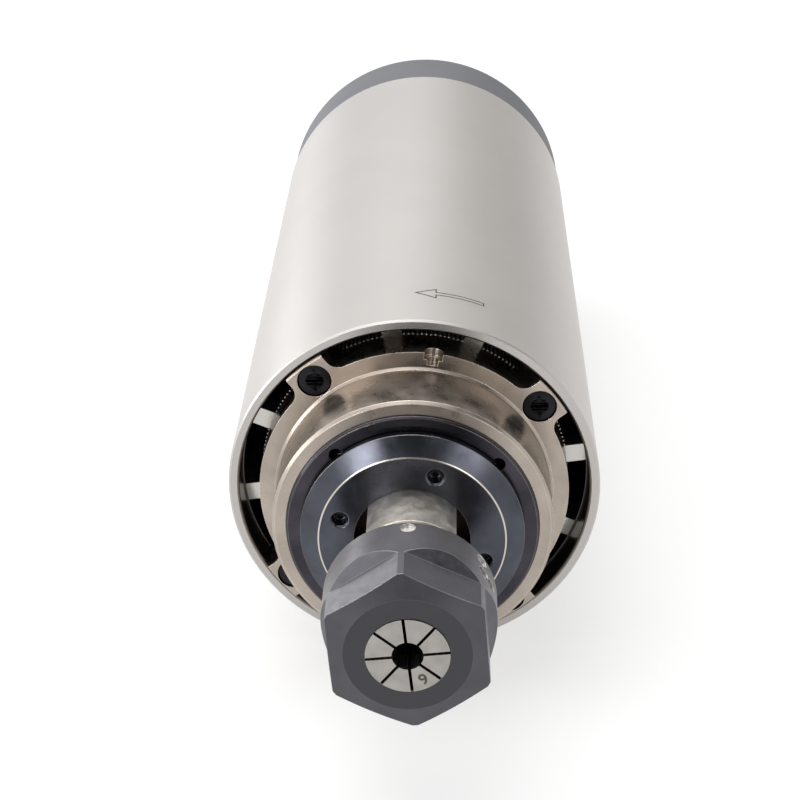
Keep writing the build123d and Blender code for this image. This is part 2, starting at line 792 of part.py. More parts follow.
# Collet: double taper sleeve, slit from both ends in turn
collet_radius = collet_diameter / 2
collet_nose_radius = collet_nose_diameter / 2
collet_cone_radius = collet_cone_diameter / 2
collet_groove_radius = collet_groove_diameter / 2
with BuildPart() as collet:
    tool_radius = tool_diameter / 2
    spun([
        (tool_radius, collet_front),
        (collet_nose_radius, collet_front),
        (collet_nose_radius, nose_land_end),
        (collet_cone_radius, cone_end),
        (collet_cone_radius, groove_front),
        (collet_groove_radius, groove_front),
        (collet_groove_radius, groove_rear),
        (collet_radius, groove_rear),
        (collet_radius, taper_start),
        (collet_rear_radius, collet_rear),
        (tool_radius, collet_rear),
    ])
    slot_reach = collet_radius + overrun
    with BuildSketch(across(collet_front + collet_slot_length)):
        with ring_of(slot_reach / 2, collet_slot_count, collet_slot_start_angle):
            Rectangle(slot_reach, collet_slot_width)
    extrude(amount=collet_slot_length, mode=Mode.SUBTRACT)
    with BuildSketch(across(collet_rear)):
        with ring_of(slot_reach / 2, collet_slot_count, collet_slot_start_angle + 180 / collet_slot_count):
            Rectangle(slot_reach, collet_slot_width)
    extrude(amount=collet_slot_length, mode=Mode.SUBTRACT)
save(collet.part, "collet")


# Collet nut: turned body, hexagon milled from the front with a ramp behind each flat
nut_front = collet_front + nut_face_setback
nut_rear = nut_front + nut_length
nut_radius = nut_diameter / 2
apothem = nut_across_flats / 2
flat_rear = nut_front + nut_flat_length
ramp_slope = nut_ramp_length / (nut_radius - apothem)
ring_seat = groove_front + (collet_groove_width - ring_thickness) / 2
pocket_radius = collet_radius + nut_pocket_clearance
pocket_rear = ring_seat + nut_pocket_length
with BuildPart() as collet_nut:
    spun([
        (0, nut_front),
        (nut_face_diameter / 2, nut_front),
        (nut_radius, nut_front + nut_face_cone_height),
        (nut_radius, nut_rear - nut_rear_chamfer),
        (nut_radius - nut_rear_chamfer, nut_rear),
        (0, nut_rear),
    ])
    # One wedge of waste: flat in front, ramp behind
    waste_radius = nut_radius + overrun
    with BuildPart(mode=Mode.PRIVATE) as waste:
        with BuildSketch(Plane.XY):
            with BuildLine():
                Polyline(
                    (apothem, nut_front - overrun),
                    (apothem, flat_rear),
                    (waste_radius, flat_rear + ramp_slope * (waste_radius - apothem)),
                    (waste_radius, nut_front - overrun),
                    close=True,
                )
            make_face()
        extrude(amount=nut_radius, both=True)
    for index in range(6):
        add(waste.part.rotate(Axis.Y, -(nut_corner_angle + 30 + 60 * index)), mode=Mode.SUBTRACT)
    # Inside: cone on the collet's nose, extraction ring pocket, thread bore
    thread_bore_radius = nose_radius + nut_thread_clearance
    spun([
        (0, nut_front - overrun),
        (collet_nose_radius + nut_cone_clearance, nut_front - overrun),
        (collet_nose_radius + nut_cone_clearance, nose_land_end),
        (collet_cone_radius + nut_cone_clearance, cone_end),
        (collet_cone_radius + nut_cone_clearance, ring_seat),
        (pocket_radius, ring_seat),
        (pocket_radius, pocket_rear),
        (thread_bore_radius, pocket_rear),
        (thread_bore_radius, nut_rear),
        (0, nut_rear),
    ], Mode.SUBTRACT)
    # Shallow drillings that balance the nut
    for angle, setback in balance_spots:
        spot = outward(angle) * nut_radius + Vector(0, nut_front + setback, 0)
        with BuildSketch(Plane(origin=spot, x_dir=(0, 1, 0), z_dir=outward(angle))):
            Circle(balance_spot_diameter / 2)
        extrude(amount=-balance_spot_depth, mode=Mode.SUBTRACT)
save(collet_nut.part, "collet_nut")

with BuildPart() as nut_extraction_ring:
    with BuildSketch(across(ring_seat + ring_thickness)):
        Circle(pocket_radius)
        with Locations((ring_eccentricity, 0)):
            Circle(collet_groove_radius + ring_hole_clearance, mode=Mode.SUBTRACT)
    extrude(amount=ring_thickness)
save(nut_extraction_ring.part, "nut_extraction_ring")
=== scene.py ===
"""Looks of an air-cooled motor spindle: finishes, laser marks, threads, stage and camera."""
import math

import bmesh
import bpy
from mathutils import Matrix, Vector


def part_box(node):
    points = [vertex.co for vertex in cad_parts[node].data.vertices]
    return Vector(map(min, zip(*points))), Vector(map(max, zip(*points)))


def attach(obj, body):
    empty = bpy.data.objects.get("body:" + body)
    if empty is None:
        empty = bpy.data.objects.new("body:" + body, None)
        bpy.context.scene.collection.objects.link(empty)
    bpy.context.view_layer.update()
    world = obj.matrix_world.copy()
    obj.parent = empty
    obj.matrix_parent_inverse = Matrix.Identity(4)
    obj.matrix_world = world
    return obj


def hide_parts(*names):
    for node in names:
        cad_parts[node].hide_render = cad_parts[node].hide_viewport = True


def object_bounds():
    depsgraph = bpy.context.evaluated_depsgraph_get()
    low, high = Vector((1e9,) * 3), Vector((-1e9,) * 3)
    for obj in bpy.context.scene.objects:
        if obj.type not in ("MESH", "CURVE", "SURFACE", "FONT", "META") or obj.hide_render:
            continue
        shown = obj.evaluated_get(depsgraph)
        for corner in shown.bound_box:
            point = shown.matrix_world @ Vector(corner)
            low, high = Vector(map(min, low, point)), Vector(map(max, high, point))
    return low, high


bl_info = {
    "name": "Motor spindle looks",
    "version": (1, 0, 0),
    "blender": (4, 5, 0),
    "location": "3D View > Sidebar > Spindle",
    "description": "Dresses the packed motor spindle and sets its studio",
    "category": "Object",
}

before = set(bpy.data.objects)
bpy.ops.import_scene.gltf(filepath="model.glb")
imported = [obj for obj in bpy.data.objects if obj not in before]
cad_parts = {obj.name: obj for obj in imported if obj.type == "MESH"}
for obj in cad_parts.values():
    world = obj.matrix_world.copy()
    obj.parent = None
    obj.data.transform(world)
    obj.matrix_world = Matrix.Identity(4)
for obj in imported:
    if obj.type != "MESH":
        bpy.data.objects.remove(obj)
cad_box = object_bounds()

MM = 0.001

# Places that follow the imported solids, in millimetres and degrees, and the camera's in metres
SPIN_AXIS = (0, -1, 0)
LATHE_STEPS = 192
EDGE_SAMPLES = 6
SCREW_CIRCLE = 33.6
SCREW_HEAD = 4.0
EAR_ANGLE = 38.5
CAP_SCREW_ANGLE = 83.5
QUARTER = 90.0
TUBE_BORE = 37.69
STEP_START = 7.6
STEP_SWEEP = 74.8
NOSE_THREAD_CREST = 12.42
NOSE_THREAD_END = -35.05
FLATS = (-39.01, -13.99)
SOCKET_THREAD_ROOT = 7.78
SOCKET_THREAD_FRONT = 197.2
DUST_EDGE_RADIUS = 19.3
DRILLINGS = ((-0.42, -45.0, 16.6), (13.96, -45.0, 9.7), (14.2, -48.6, 9.33), (15.69, -48.7, 6.53))
FLOOR_REACH = 6.0
CAMERA_PLACE = (0.00616, -0.36157, 0.20342)
CAMERA_TURN = (63.31, 0.0, 1.455)


def linear(hex_colour):
    """Linear RGBA of an sRGB hex colour such as "#D6D2CC"."""
    channels = [int(hex_colour[i:i + 2], 16) / 255 for i in (1, 3, 5)]
    return tuple(c / 12.92 if c <= 0.04045 else ((c + 0.055) / 1.055) ** 2.4 for c in channels) + (1.0,)


def colour(label, text, hex_colour):
    """Colour property with its default in sRGB hex."""
    return bpy.props.FloatVectorProperty(
        name=label, description=text, subtype="COLOR", size=4, min=0.0, max=1.0,
        default=linear(hex_colour))


def length(label, text, millimetres):
    """Length property with its default in millimetres."""
    return bpy.props.FloatProperty(
        name=label, description=text, unit="LENGTH", subtype="DISTANCE", precision=5,
        default=millimetres * MM)


def angle(label, text, degrees):
    """Angle property with its default in degrees."""
    return bpy.props.FloatProperty(
        name=label, description=text, unit="ROTATION", subtype="ANGLE", default=math.radians(degrees))


def power(label, text, watts):
    """Power property of a lamp in watts."""
    return bpy.props.FloatProperty(name=label, description=text, unit="POWER", default=watts)


class SpindleColours(bpy.types.PropertyGroup):
    """Colours of the finishes"""

    tube: colour("Body tube", "Satin nickel of the body tube", "#BEBAB7")
    # The bore's dark grey is painted shade inside the tube
    bore: colour("Tube bore", "Dark, bored inside wall of the body tube", "#6A6764")
    cap: colour("Rear cap", "Grey coat of the rear cap", "#66676C")
    # The core's near-black is black anodise and also painted shade in the deep channels
    extrusion: colour("Core extrusion", "Black anodised walls of the finned core", "#3A383E")
    # The rib ends' light colour is milled aluminium and partly a painted highlight
    lit_rib_end: colour("Rib ends", "Milled aluminium of the rib ends", "#BFBCB6")
    flange: colour("Nose flange", "Electroless nickel of the nose flange", "#ACA298")
    oxide: colour("Black oxide", "Blued black of the dust flange and the rear lock nut", "#4D4F57")
    gland: colour("Gland ring", "Black oxide of the gland ring", "#403E44")
    oxide_edge: colour("Worn edge", "Steel that shows where black oxide is rubbed off", "#C9C4BC")
    screw: colour("Screws", "Black oxide of the socket head screws", "#202024")
    shaft: colour("Shaft", "Ground steel of the shaft", "#C4BFB7")
    # This colour is painted shade on the shaft behind the dust flange, in the gap round it
    painted_gap_shade: colour("Grease", "Film of dark grease on the shaft behind the dust flange", "#2A211C")
    nut: colour("Collet nut", "Grey-black phosphate of the collet nut", "#5E5D62")
    bare_steel: colour("Bare steel", "Fresh steel in the balance drillings", "#D2D0CC")
    collet: colour("Collet", "Ground steel of the collet", "#A09C98")
    mark: colour("Laser mark", "Burnt line of a laser mark", "#4A4034")
    race: colour("Bearing rings", "Ground bearing steel", "#C6C6C4")
    lamination: colour("Laminations", "Punched edges of the stacked sheet", "#6E6E72")
    copper: colour("Windings", "Varnished winding wire", "#A4572A")
    nickel: colour("Socket", "Nickel-plated brass of the panel socket", "#CFCDCA")
    plastic: colour("Black plastic", "Moulded glass-filled nylon", "#232326")
    brass: colour("Pins", "Turned brass of the contact pins", "#C9A765")
    floor: colour("Floor", "Pale studio floor", "#FCFCFB")
    flag: colour("Dark card", "Black felt of the card behind the camera", "#1E1B1A")
    side_card: colour("Side card", "Dark grey of the card above at the right", "#3C3B3A")
    grey_card: colour("Grey card", "Grey of the card behind at the right", "#CFCECC")


class SpindleSizes(bpy.types.PropertyGroup):
    """Sizes of the pieces and of the patterns on them"""

    # On some finishes this bright line is a painted highlight, on others metal worn through a coat
    edge: length("Worn edge", "Width of the bright line along a worn edge", 0.22)
    tool_mark: length("Tool marks", "Spacing of turning marks; drawn coarse enough to show", 0.35)
    satin_grain: length("Satin grain", "Width of the grain on the body tube", 0.3)
    blotch: length("Blotches", "Size of tone patches on plated and oxidised steel", 7.0)
    wire: length("Winding wire", "Diameter of the winding wire", 0.8)
    sheet: length("Sheet", "Thickness of a lamination; drawn coarse enough to show", 1.0)
    mark_height: length("Mark height", "How far a laser mark stands on the metal", 0.008)
    arrow_line: length("Arrow line", "Width of the line of the rotation arrow", 0.3)
    arrow_head: length("Arrow head", "Length of the rotation arrow's head", 4.8)
    arrow_head_width: length("Arrow head width", "Width of the rotation arrow's head", 4.9)
    arrow_tail: length("Arrow tail", "Length of the rotation arrow's tail", 10.5)
    arrow_tail_width: length("Arrow tail width", "Width of the rotation arrow's tail", 1.6)
    arrow_place: length("Arrow place", "Distance of the rotation arrow behind the front rim", 14.4)
    arrow_angle: angle("Arrow tip", "Place of the arrow's tip round the axis", 90.5)
    step_height: length("Bore step", "Height of the step in the tube's bore", 0.32)
    step_width: length("Bore step width", "Length of the step along the axis", 0.2)
    thread_pitch: length("Nose thread pitch", "Pitch of the thread on the shaft nose, M25 x 1.5", 1.5)
    across_flats: length("Across flats", "Width of the shaft across its wrench flats", 18.0)
    thread_root: length("Nose thread root", "Root radius of the thread on the shaft nose", 11.58)
    socket_pitch: length("Socket thread pitch", "Pitch of the thread on the panel socket", 1.0)
    socket_crest: length("Socket thread crest", "Crest radius of the thread on the panel socket", 8.2)
    head_edge: length("Screw head edge", "Rounding of a socket screw's head", 0.45)
    head_knurl: length("Screw knurl", "Depth of the knurl on a socket screw's head", 0.1)
    socket_bevel: length("Socket bevel", "Countersink at the mouth of a socket screw's hexagon", 0.3)
    numeral_height: length("Numeral height", "Height of the size numeral on the collet", 2.5)
    numeral_radius: length("Numeral radius", "Distance of the numeral from the axis", 5.9)
    numeral_angle: angle("Numeral place", "Place of the numeral round the axis", -59.7)


class SpindleStage(bpy.types.PropertyGroup):
    """Camera, lamps and floor"""

    lens: bpy.props.FloatProperty(
        name="Lens", description="Focal length of the camera", unit="CAMERA", default=86.57)
    world_level: bpy.props.FloatProperty(
        name="Room level", description="Strength of the even light of the room", default=0.45)
    floor_glow: bpy.props.FloatProperty(
        name="Floor white", description="How far the floor is lifted to white where it is looked at",
        subtype="FACTOR", min=0.0, max=1.0, default=0.6)
    top_power: power("Top lamp", "Power of the large soft lamp overhead", 17.0)
    left_power: power("Left lamp", "Power of the soft lamp behind at the left", 1.2)
    side_power: power("Side lamp", "Power of the soft lamp beside at the left", 2.6)
    front_left_power: power("Front left lamp", "Power of the small soft lamp left of the camera", 2.4)
    front_right_power: power("Front right lamp", "Power of the small soft lamp right of the camera", 0.8)


def settings():
    """The colours and the sizes of the scene."""
    return bpy.context.scene.spindle_colours, bpy.context.scene.spindle_sizes


# ---------------------------------------------------------------- nodes and finishes

def add(tree, kind, inputs=None, **options):
    """Adds a node, sets its options, and sets or links its inputs by name or number."""
    node = tree.nodes.new(kind)
    for name, value in options.items():
        setattr(node, name, value)
    for name, value in (inputs or {}).items():
        if isinstance(value, bpy.types.NodeSocket):
            tree.links.new(value, node.inputs[name])
        else:
            node.inputs[name].default_value = value
    return node


def per(size):
    """Pattern scale that gives a size in metres on Object coordinates."""
    return 1.0 / size


def finish(name, base, metallic, roughness):
    """New material: its node tree, its Principled shader and its Object coordinates."""
    material = bpy.data.materials.new(name)
    material.use_nodes = True
    tree = material.node_tree
    tree.nodes.clear()
    shader = add(tree, "ShaderNodeBsdfPrincipled",
                 {"Base Color": base, "Metallic": metallic, "Roughness": roughness})
    add(tree, "ShaderNodeOutputMaterial", {"Surface": shader.outputs["BSDF"]})
    where = add(tree, "ShaderNodeTexCoord").outputs["Object"]
    material.diffuse_color = base
    return material, tree, shader, where


def shade(base, factor):
    """A colour made lighter or darker by a factor."""
    return tuple(min(1.0, c * factor) for c in base[:3]) + (1.0,)


def round_the_axis(tree, where):
    """Lathe coordinates from Object coordinates: radius, and place along the axis."""
    split = add(tree, "ShaderNodeSeparateXYZ", {"Vector": where})
    flat = add(tree, "ShaderNodeCombineXYZ", {"X": split.outputs["X"], "Z": split.outputs["Z"]})
    radius = add(tree, "ShaderNodeVectorMath", {0: flat.outputs["Vector"]}, operation="LENGTH")
    return radius.outputs["Value"], split.outputs["Y"]


def ring_marks(tree, where, spacing, depth, rounded):
    """Bump normal of turning marks: rings round the axis on faces and on outsides."""
    radius, along = round_the_axis(tree, where)
    rings = add(tree, "ShaderNodeCombineXYZ", {"X": radius, "Y": along})
    marks = add(tree, "ShaderNodeTexNoise",
                {"Vector": rings.outputs["Vector"], "Scale": per(spacing), "Detail": 3.0,
                 "Roughness": 0.6})
    bump = add(tree, "ShaderNodeBump",
               {"Height": marks.outputs["Fac"], "Distance": depth, "Normal": rounded})
    return bump.outputs["Normal"]


def edge_wear_and_highlight(tree, width, skin, bare, amount):
    """Mixes a lighter colour into a skin along its edges, and gives the normal of the broken edges; each
    finish says whether that colour is worn-through metal, a painted highlight, or partly both.
    """
    rounded = add(tree, "ShaderNodeBevel", {"Radius": width}, samples=EDGE_SAMPLES).outputs["Normal"]
    plain = add(tree, "ShaderNodeNewGeometry")
    match = add(tree, "ShaderNodeVectorMath", {0: rounded, 1: plain.outputs["Normal"]},
                operation="DOT_PRODUCT")
    mask = add(tree, "ShaderNodeMapRange",
               {"Value": match.outputs["Value"], "From Min": 0.995, "From Max": 0.93})
    part = add(tree, "ShaderNodeMath", {0: mask.outputs["Result"], 1: amount}, operation="MULTIPLY")
    lit_and_worn = add(tree, "ShaderNodeMix", {0: part.outputs["Value"], 6: skin, 7: bare},
               data_type="RGBA")
    return lit_and_worn.outputs[2], rounded


def patches(tree, where, size, low, high, detail=3.0):
    """Soft patches of a size, as a factor that runs from low to high."""
    noise = add(tree, "ShaderNodeTexNoise", {"Vector": where, "Scale": per(size), "Detail": detail})
    spread = add(tree, "ShaderNodeMapRange",
                 {"Value": noise.outputs["Fac"], "From Min": 0.3, "From Max": 0.7,
                  "To Min": low, "To Max": high})
    return spread.outputs["Result"]


def clouded(tree, where, base, size, dark, light, detail=3.0):
    """A colour that drifts between two of its shades in soft patches."""
    cloud = add(tree, "ShaderNodeMix",
                {0: patches(tree, where, size, 0.0, 1.0, detail), 6: shade(base, dark),
                 7: shade(base, light)}, data_type="RGBA")
    return cloud.outputs[2]


def facing_along(tree, start=0.9, full=0.98):
    """One on faces that look along the axis, and zero on outsides and bores."""
    geometry = add(tree, "ShaderNodeNewGeometry")
    split = add(tree, "ShaderNodeSeparateXYZ", {"Vector": geometry.outputs["Normal"]})
    along = add(tree, "ShaderNodeMath", {0: split.outputs["Y"]}, operation="ABSOLUTE")
    mask = add(tree, "ShaderNodeMapRange",
               {"Value": along.outputs["Value"], "From Min": start, "From Max": full})
    return mask.outputs["Result"]


def tube_finish(colours, sizes):
    """Nickel-plated steel tube, belt ground: a soft satin with fine rings, and a honed bore; painted
    shade darkens the rim and the bore.
    """
    material, tree, shader, where = finish("nickel_plated_tube_satin", colours.tube, 1.0, 0.4)
    radius = round_the_axis(tree, where)[0]
    # Painted shade: inside the bore the tube takes the darker bore colour
    inside = add(tree, "ShaderNodeMapRange",
                 {"Value": radius, "From Min": 38.0 * MM, "From Max": 37.85 * MM})
    satin = clouded(tree, where, colours.tube, 24 * MM, 0.98, 1.02)
    # The rim is faced on a lathe after plating: smoother; its darker tone is painted shade on the faces
    # that look along the axis
    rim_faces = facing_along(tree)
    rim = add(tree, "ShaderNodeMix",
              {0: rim_faces, 6: satin, 7: shade(colours.tube, 0.88)}, data_type="RGBA")
    tone = add(tree, "ShaderNodeMix",
               {0: inside.outputs["Result"], 6: rim.outputs[2], 7: colours.bore}, data_type="RGBA")
    tree.links.new(tone.outputs[2], shader.inputs["Base Color"])
    smooth = add(tree, "ShaderNodeMix",
                 {0: rim_faces, 2: patches(tree, where, 30 * MM, 0.4, 0.43), 3: 0.2},
                 data_type="FLOAT")
    gloss = add(tree, "ShaderNodeMix",
                {0: inside.outputs["Result"], 2: smooth.outputs[0], 3: 0.33}, data_type="FLOAT")
    tree.links.new(gloss.outputs[0], shader.inputs["Roughness"])
    rounded = add(tree, "ShaderNodeBevel", {"Radius": 0.12 * MM}, samples=EDGE_SAMPLES)
    normal = ring_marks(tree, where, sizes.satin_grain, 0.0015 * MM, rounded.outputs["Normal"])
    tree.links.new(normal, shader.inputs["Normal"])
    return material


def cap_finish(colours, sizes):
    """Die-cast aluminium, powder coated grey: an even satin with a faint orange peel."""
    material, tree, shader, where = finish("die_cast_cap_powder_coat", colours.cap, 0.3, 0.55)
    coat = clouded(tree, where, colours.cap, 18 * MM, 0.93, 1.05)
    lit_and_worn, rounded = edge_wear_and_highlight(tree, sizes.edge, coat, shade(colours.cap, 1.5), 0.5)
    tree.links.new(lit_and_worn, shader.inputs["Base Color"])
    peel = add(tree, "ShaderNodeTexNoise", {"Vector": where, "Scale": per(0.9 * MM), "Detail": 2.0})
    bump = add(tree, "ShaderNodeBump",
               {"Height": peel.outputs["Fac"], "Distance": 0.02 * MM, "Normal": rounded})
    tree.links.new(bump.outputs["Normal"], shader.inputs["Normal"])
    return material


def core_finish(colours, sizes):
    """Aluminium extrusion, black anodised, with milled ends: dark channels that are partly painted
    shade, and bright rib ends and edges that are partly a painted highlight.
    """
    material, tree, shader, where = finish("extruded_core_black_anodised", colours.extrusion,
                                           0.6, 0.4)
    # Faces that look along the axis take the light rib-end colour, partly as a painted highlight
    milled = facing_along(tree)
    # The edges also take the rib-end colour: worn anodise, and partly a painted highlight
    lit_and_worn, rounded = edge_wear_and_highlight(tree, sizes.edge, colours.extrusion, colours.lit_rib_end, 0.6)
    tone = add(tree, "ShaderNodeMix", {0: milled, 6: lit_and_worn, 7: colours.lit_rib_end}, data_type="RGBA")
    tree.links.new(tone.outputs[2], shader.inputs["Base Color"])
    gloss = add(tree, "ShaderNodeMapRange", {"Value": milled, "To Min": 0.42, "To Max": 0.2})
    tree.links.new(gloss.outputs["Result"], shader.inputs["Roughness"])
    tree.links.new(milled, shader.inputs["Metallic"])
    # Die lines run along the extrusion
    drawn = add(tree, "ShaderNodeMapping", {"Vector": where, "Scale": (1.0, 0.02, 1.0)})
    lines = add(tree, "ShaderNodeTexNoise",
                {"Vector": drawn.outputs["Vector"], "Scale": per(0.4 * MM), "Detail": 2.0})
    bump = add(tree, "ShaderNodeBump",
               {"Height": lines.outputs["Fac"], "Distance": 0.01 * MM, "Normal": rounded})
    tree.links.new(bump.outputs["Normal"], shader.inputs["Normal"])
    return material


def flange_finish(colours, sizes):
    """Turned steel, electroless nickel plated: warm, cloudy, with faint rings and a painted highlight
    along its edges.
    """
    material, tree, shader, where = finish("turned_flange_electroless_nickel", colours.flange,
                                           1.0, 0.26)
    cloud = clouded(tree, where, colours.flange, sizes.blotch, 0.88, 1.06)
    # Painted highlight: the edges are the nickel made 2.1 times as light
    lit_and_worn, rounded = edge_wear_and_highlight(tree, 0.7 * sizes.edge, cloud, shade(colours.flange, 2.1), 0.8)
    tree.links.new(lit_and_worn, shader.inputs["Base Color"])
    tree.links.new(patches(tree, where, 4 * MM, 0.24, 0.36), shader.inputs["Roughness"])
    normal = ring_marks(tree, where, sizes.tool_mark, 0.0015 * MM, rounded)
    tree.links.new(normal, shader.inputs["Normal"])
    return material


def oxide_finish(name, tint, colours, sizes):
    """Turned steel, black oxide: a blue-black sheen with rubbed, bright edges."""
    material, tree, shader, where = finish(name, tint, 0.95, 0.25)
    cloud = clouded(tree, where, tint, sizes.blotch, 0.75, 1.15)
    lit_and_worn, rounded = edge_wear_and_highlight(tree, sizes.edge, cloud, colours.oxide_edge, 0.35)
    # The sharp edge where the cone meets the front face is rubbed bright all round
    radius, along = round_the_axis(tree, where)
    off = add(tree, "ShaderNodeMath", {0: radius, 1: DUST_EDGE_RADIUS * MM}, operation="SUBTRACT")
    near = add(tree, "ShaderNodeMath", {0: off.outputs["Value"]}, operation="ABSOLUTE")
    band = add(tree, "ShaderNodeMapRange",
               {"Value": near.outputs["Value"], "From Min": 0.2 * MM, "From Max": 0.12 * MM})
    nose = add(tree, "ShaderNodeMapRange",
               {"Value": along, "From Min": -21.0 * MM, "From Max": -21.1 * MM})
    rubbed = add(tree, "ShaderNodeMath",
                 {0: band.outputs["Result"], 1: nose.outputs["Result"]}, operation="MULTIPLY")
    tone = add(tree, "ShaderNodeMix",
               {0: rubbed.outputs["Value"], 6: lit_and_worn, 7: colours.oxide_edge}, data_type="RGBA")
    tree.links.new(tone.outputs[2], shader.inputs["Base Color"])
    tree.links.new(patches(tree, where, 5 * MM, 0.19, 0.3), shader.inputs["Roughness"])
    normal = ring_marks(tree, where, sizes.tool_mark, 0.002 * MM, rounded)
    tree.links.new(normal, shader.inputs["Normal"])
    return material


def screw_finish(colours, sizes):
    """Cold-headed steel screw, black oxide and oiled: black, with rounded edges that carry a painted
    highlight.
    """
    material, tree, shader, where = finish("socket_screw_black_oxide", colours.screw, 0.8, 0.34)
    # Painted highlight: the edges are the black made four times as light
    lit_and_worn, rounded = edge_wear_and_highlight(tree, sizes.edge, colours.screw, shade(colours.screw, 4.0), 0.7)
    tree.links.new(lit_and_worn, shader.inputs["Base Color"])
    tree.links.new(patches(tree, where, 1.5 * MM, 0.28, 0.45), shader.inputs["Roughness"])
    tree.links.new(rounded, shader.inputs["Normal"])
    return material


def shaft_finish(colours, sizes):
    """Hardened steel, cylindrically ground: bright, with fine rings and handling stains, and painted
    shade behind the dust flange.
    """
    material, tree, shader, where = finish("ground_shaft_steel", colours.shaft, 1.0, 0.45)
    # Wide cloudy stains under a fine speckle of fingerprints
    stain = clouded(tree, where, colours.shaft, 3.2 * MM, 0.72, 1.15, 5.0)
    speck = add(tree, "ShaderNodeMix",
                {0: patches(tree, where, 0.5 * MM, 0.0, 0.35, 4.0), 6: stain,
                 7: shade(colours.shaft, 0.5)}, data_type="RGBA")
    # Painted shade darkens the shaft from the dust flange's face rearward, in the gap round it
    along = round_the_axis(tree, where)[1]
    behind_dust_flange = add(tree, "ShaderNodeMapRange",
                 {"Value": along, "From Min": -22.0 * MM, "From Max": -20.8 * MM})
    film = add(tree, "ShaderNodeMix",
               {0: behind_dust_flange.outputs["Result"], 6: speck.outputs[2], 7: colours.painted_gap_shade},
               data_type="RGBA")
    # Painted highlight: the edges are the ground steel made lighter
    lit_and_worn, rounded = edge_wear_and_highlight(tree, sizes.edge, film.outputs[2], shade(colours.shaft, 1.3), 0.6)
    tree.links.new(lit_and_worn, shader.inputs["Base Color"])
    tree.links.new(patches(tree, where, 2 * MM, 0.37, 0.5), shader.inputs["Roughness"])
    normal = ring_marks(tree, where, sizes.tool_mark, 0.002 * MM, rounded)
    tree.links.new(normal, shader.inputs["Normal"])
    return material


def nut_finish(colours, sizes):
    """Turned and milled steel nut, phosphated grey-black: half matt, with fresh bright drillings,
    painted shade on its face and cone, and edges that are partly a painted highlight.
    """
    material, tree, shader, where = finish("collet_nut_phosphate", colours.nut, 0.85, 0.33)
    skin = clouded(tree, where, colours.nut, 5 * MM, 0.88, 1.1, 4.0)
    # The face and its cone are darkened to half the phosphate's tone: painted shade on the faces that
    # look along the axis
    tone = add(tree, "ShaderNodeMix",
               {0: facing_along(tree, 0.93, 0.995), 6: skin,
                7: shade(colours.nut, 0.5)}, data_type="RGBA")
    # The edges are lightened toward steel: partly wear through the phosphate, partly a painted highlight
    lit_and_worn, rounded = edge_wear_and_highlight(tree, sizes.edge, tone.outputs[2], shade(colours.nut, 3.5), 0.75)
    # The balance drillings are cut through the phosphate, so bare steel shines in them
    nearest = 1.0
    for place in DRILLINGS:
        spot = add(tree, "ShaderNodeVectorMath",
                   {0: where, 1: tuple(c * MM for c in place)}, operation="DISTANCE")
        nearest = add(tree, "ShaderNodeMath", {0: spot.outputs["Value"], 1: nearest},
                      operation="MINIMUM").outputs["Value"]
    fresh = add(tree, "ShaderNodeMapRange",
                {"Value": nearest, "From Min": 1.6 * MM, "From Max": 1.45 * MM})
    tint = add(tree, "ShaderNodeMix",
               {0: fresh.outputs["Result"], 6: lit_and_worn, 7: colours.bare_steel}, data_type="RGBA")
    tree.links.new(tint.outputs[2], shader.inputs["Base Color"])
    tree.links.new(patches(tree, where, 1.2 * MM, 0.28, 0.38), shader.inputs["Roughness"])
    normal = ring_marks(tree, where, sizes.tool_mark, 0.002 * MM, rounded)
    tree.links.new(normal, shader.inputs["Normal"])
    return material


def collet_finish(colours, sizes):
    """Hardened collet steel, face ground: pale grey with fine rings round the bore."""
    material, tree, shader, where = finish("ground_collet_steel", colours.collet, 1.0, 0.32)
    cloud = clouded(tree, where, colours.collet, 2.5 * MM, 0.88, 1.08, 4.0)
    # Painted highlight: the edges are the collet steel made lighter
    lit_and_worn, rounded = edge_wear_and_highlight(tree, 0.08 * MM, cloud, shade(colours.collet, 1.3), 0.5)
    tree.links.new(lit_and_worn, shader.inputs["Base Color"])
    normal = ring_marks(tree, where, sizes.tool_mark, 0.0015 * MM, rounded)
    tree.links.new(normal, shader.inputs["Normal"])
    return material


def race_finish(colours, sizes):
    """Through-hardened bearing steel, ground and polished: a clean mirror with fine rings."""
    material, tree, shader, where = finish("ground_bearing_ring", colours.race, 1.0, 0.14)
    tree.links.new(patches(tree, where, 3 * MM, 0.1, 0.2), shader.inputs["Roughness"])
    rounded = add(tree, "ShaderNodeBevel", {"Radius": sizes.edge}, samples=EDGE_SAMPLES)
    normal = ring_marks(tree, where, sizes.tool_mark, 0.0008 * MM, rounded.outputs["Normal"])
    tree.links.new(normal, shader.inputs["Normal"])
    return material


def lamination_finish(colours, sizes):
    """Stack of punched silicon steel sheets: grey with the fine lines of the sheet edges."""
    material, tree, shader, where = finish("stacked_silicon_steel_sheet", colours.lamination,
                                           0.8, 0.42)
    along = round_the_axis(tree, where)[1]
    line = add(tree, "ShaderNodeCombineXYZ", {"Y": along})
    sheets = add(tree, "ShaderNodeTexWave",
                 {"Vector": line.outputs["Vector"], "Scale": per(sizes.sheet) / 20.0},
                 bands_direction="Y")
    tone = add(tree, "ShaderNodeMix",
               {0: sheets.outputs["Fac"], 6: shade(colours.lamination, 0.55),
                7: colours.lamination}, data_type="RGBA")
    tree.links.new(tone.outputs[2], shader.inputs["Base Color"])
    bump = add(tree, "ShaderNodeBump", {"Height": sheets.outputs["Fac"], "Distance": 0.08 * MM})
    tree.links.new(bump.outputs["Normal"], shader.inputs["Normal"])
    return material


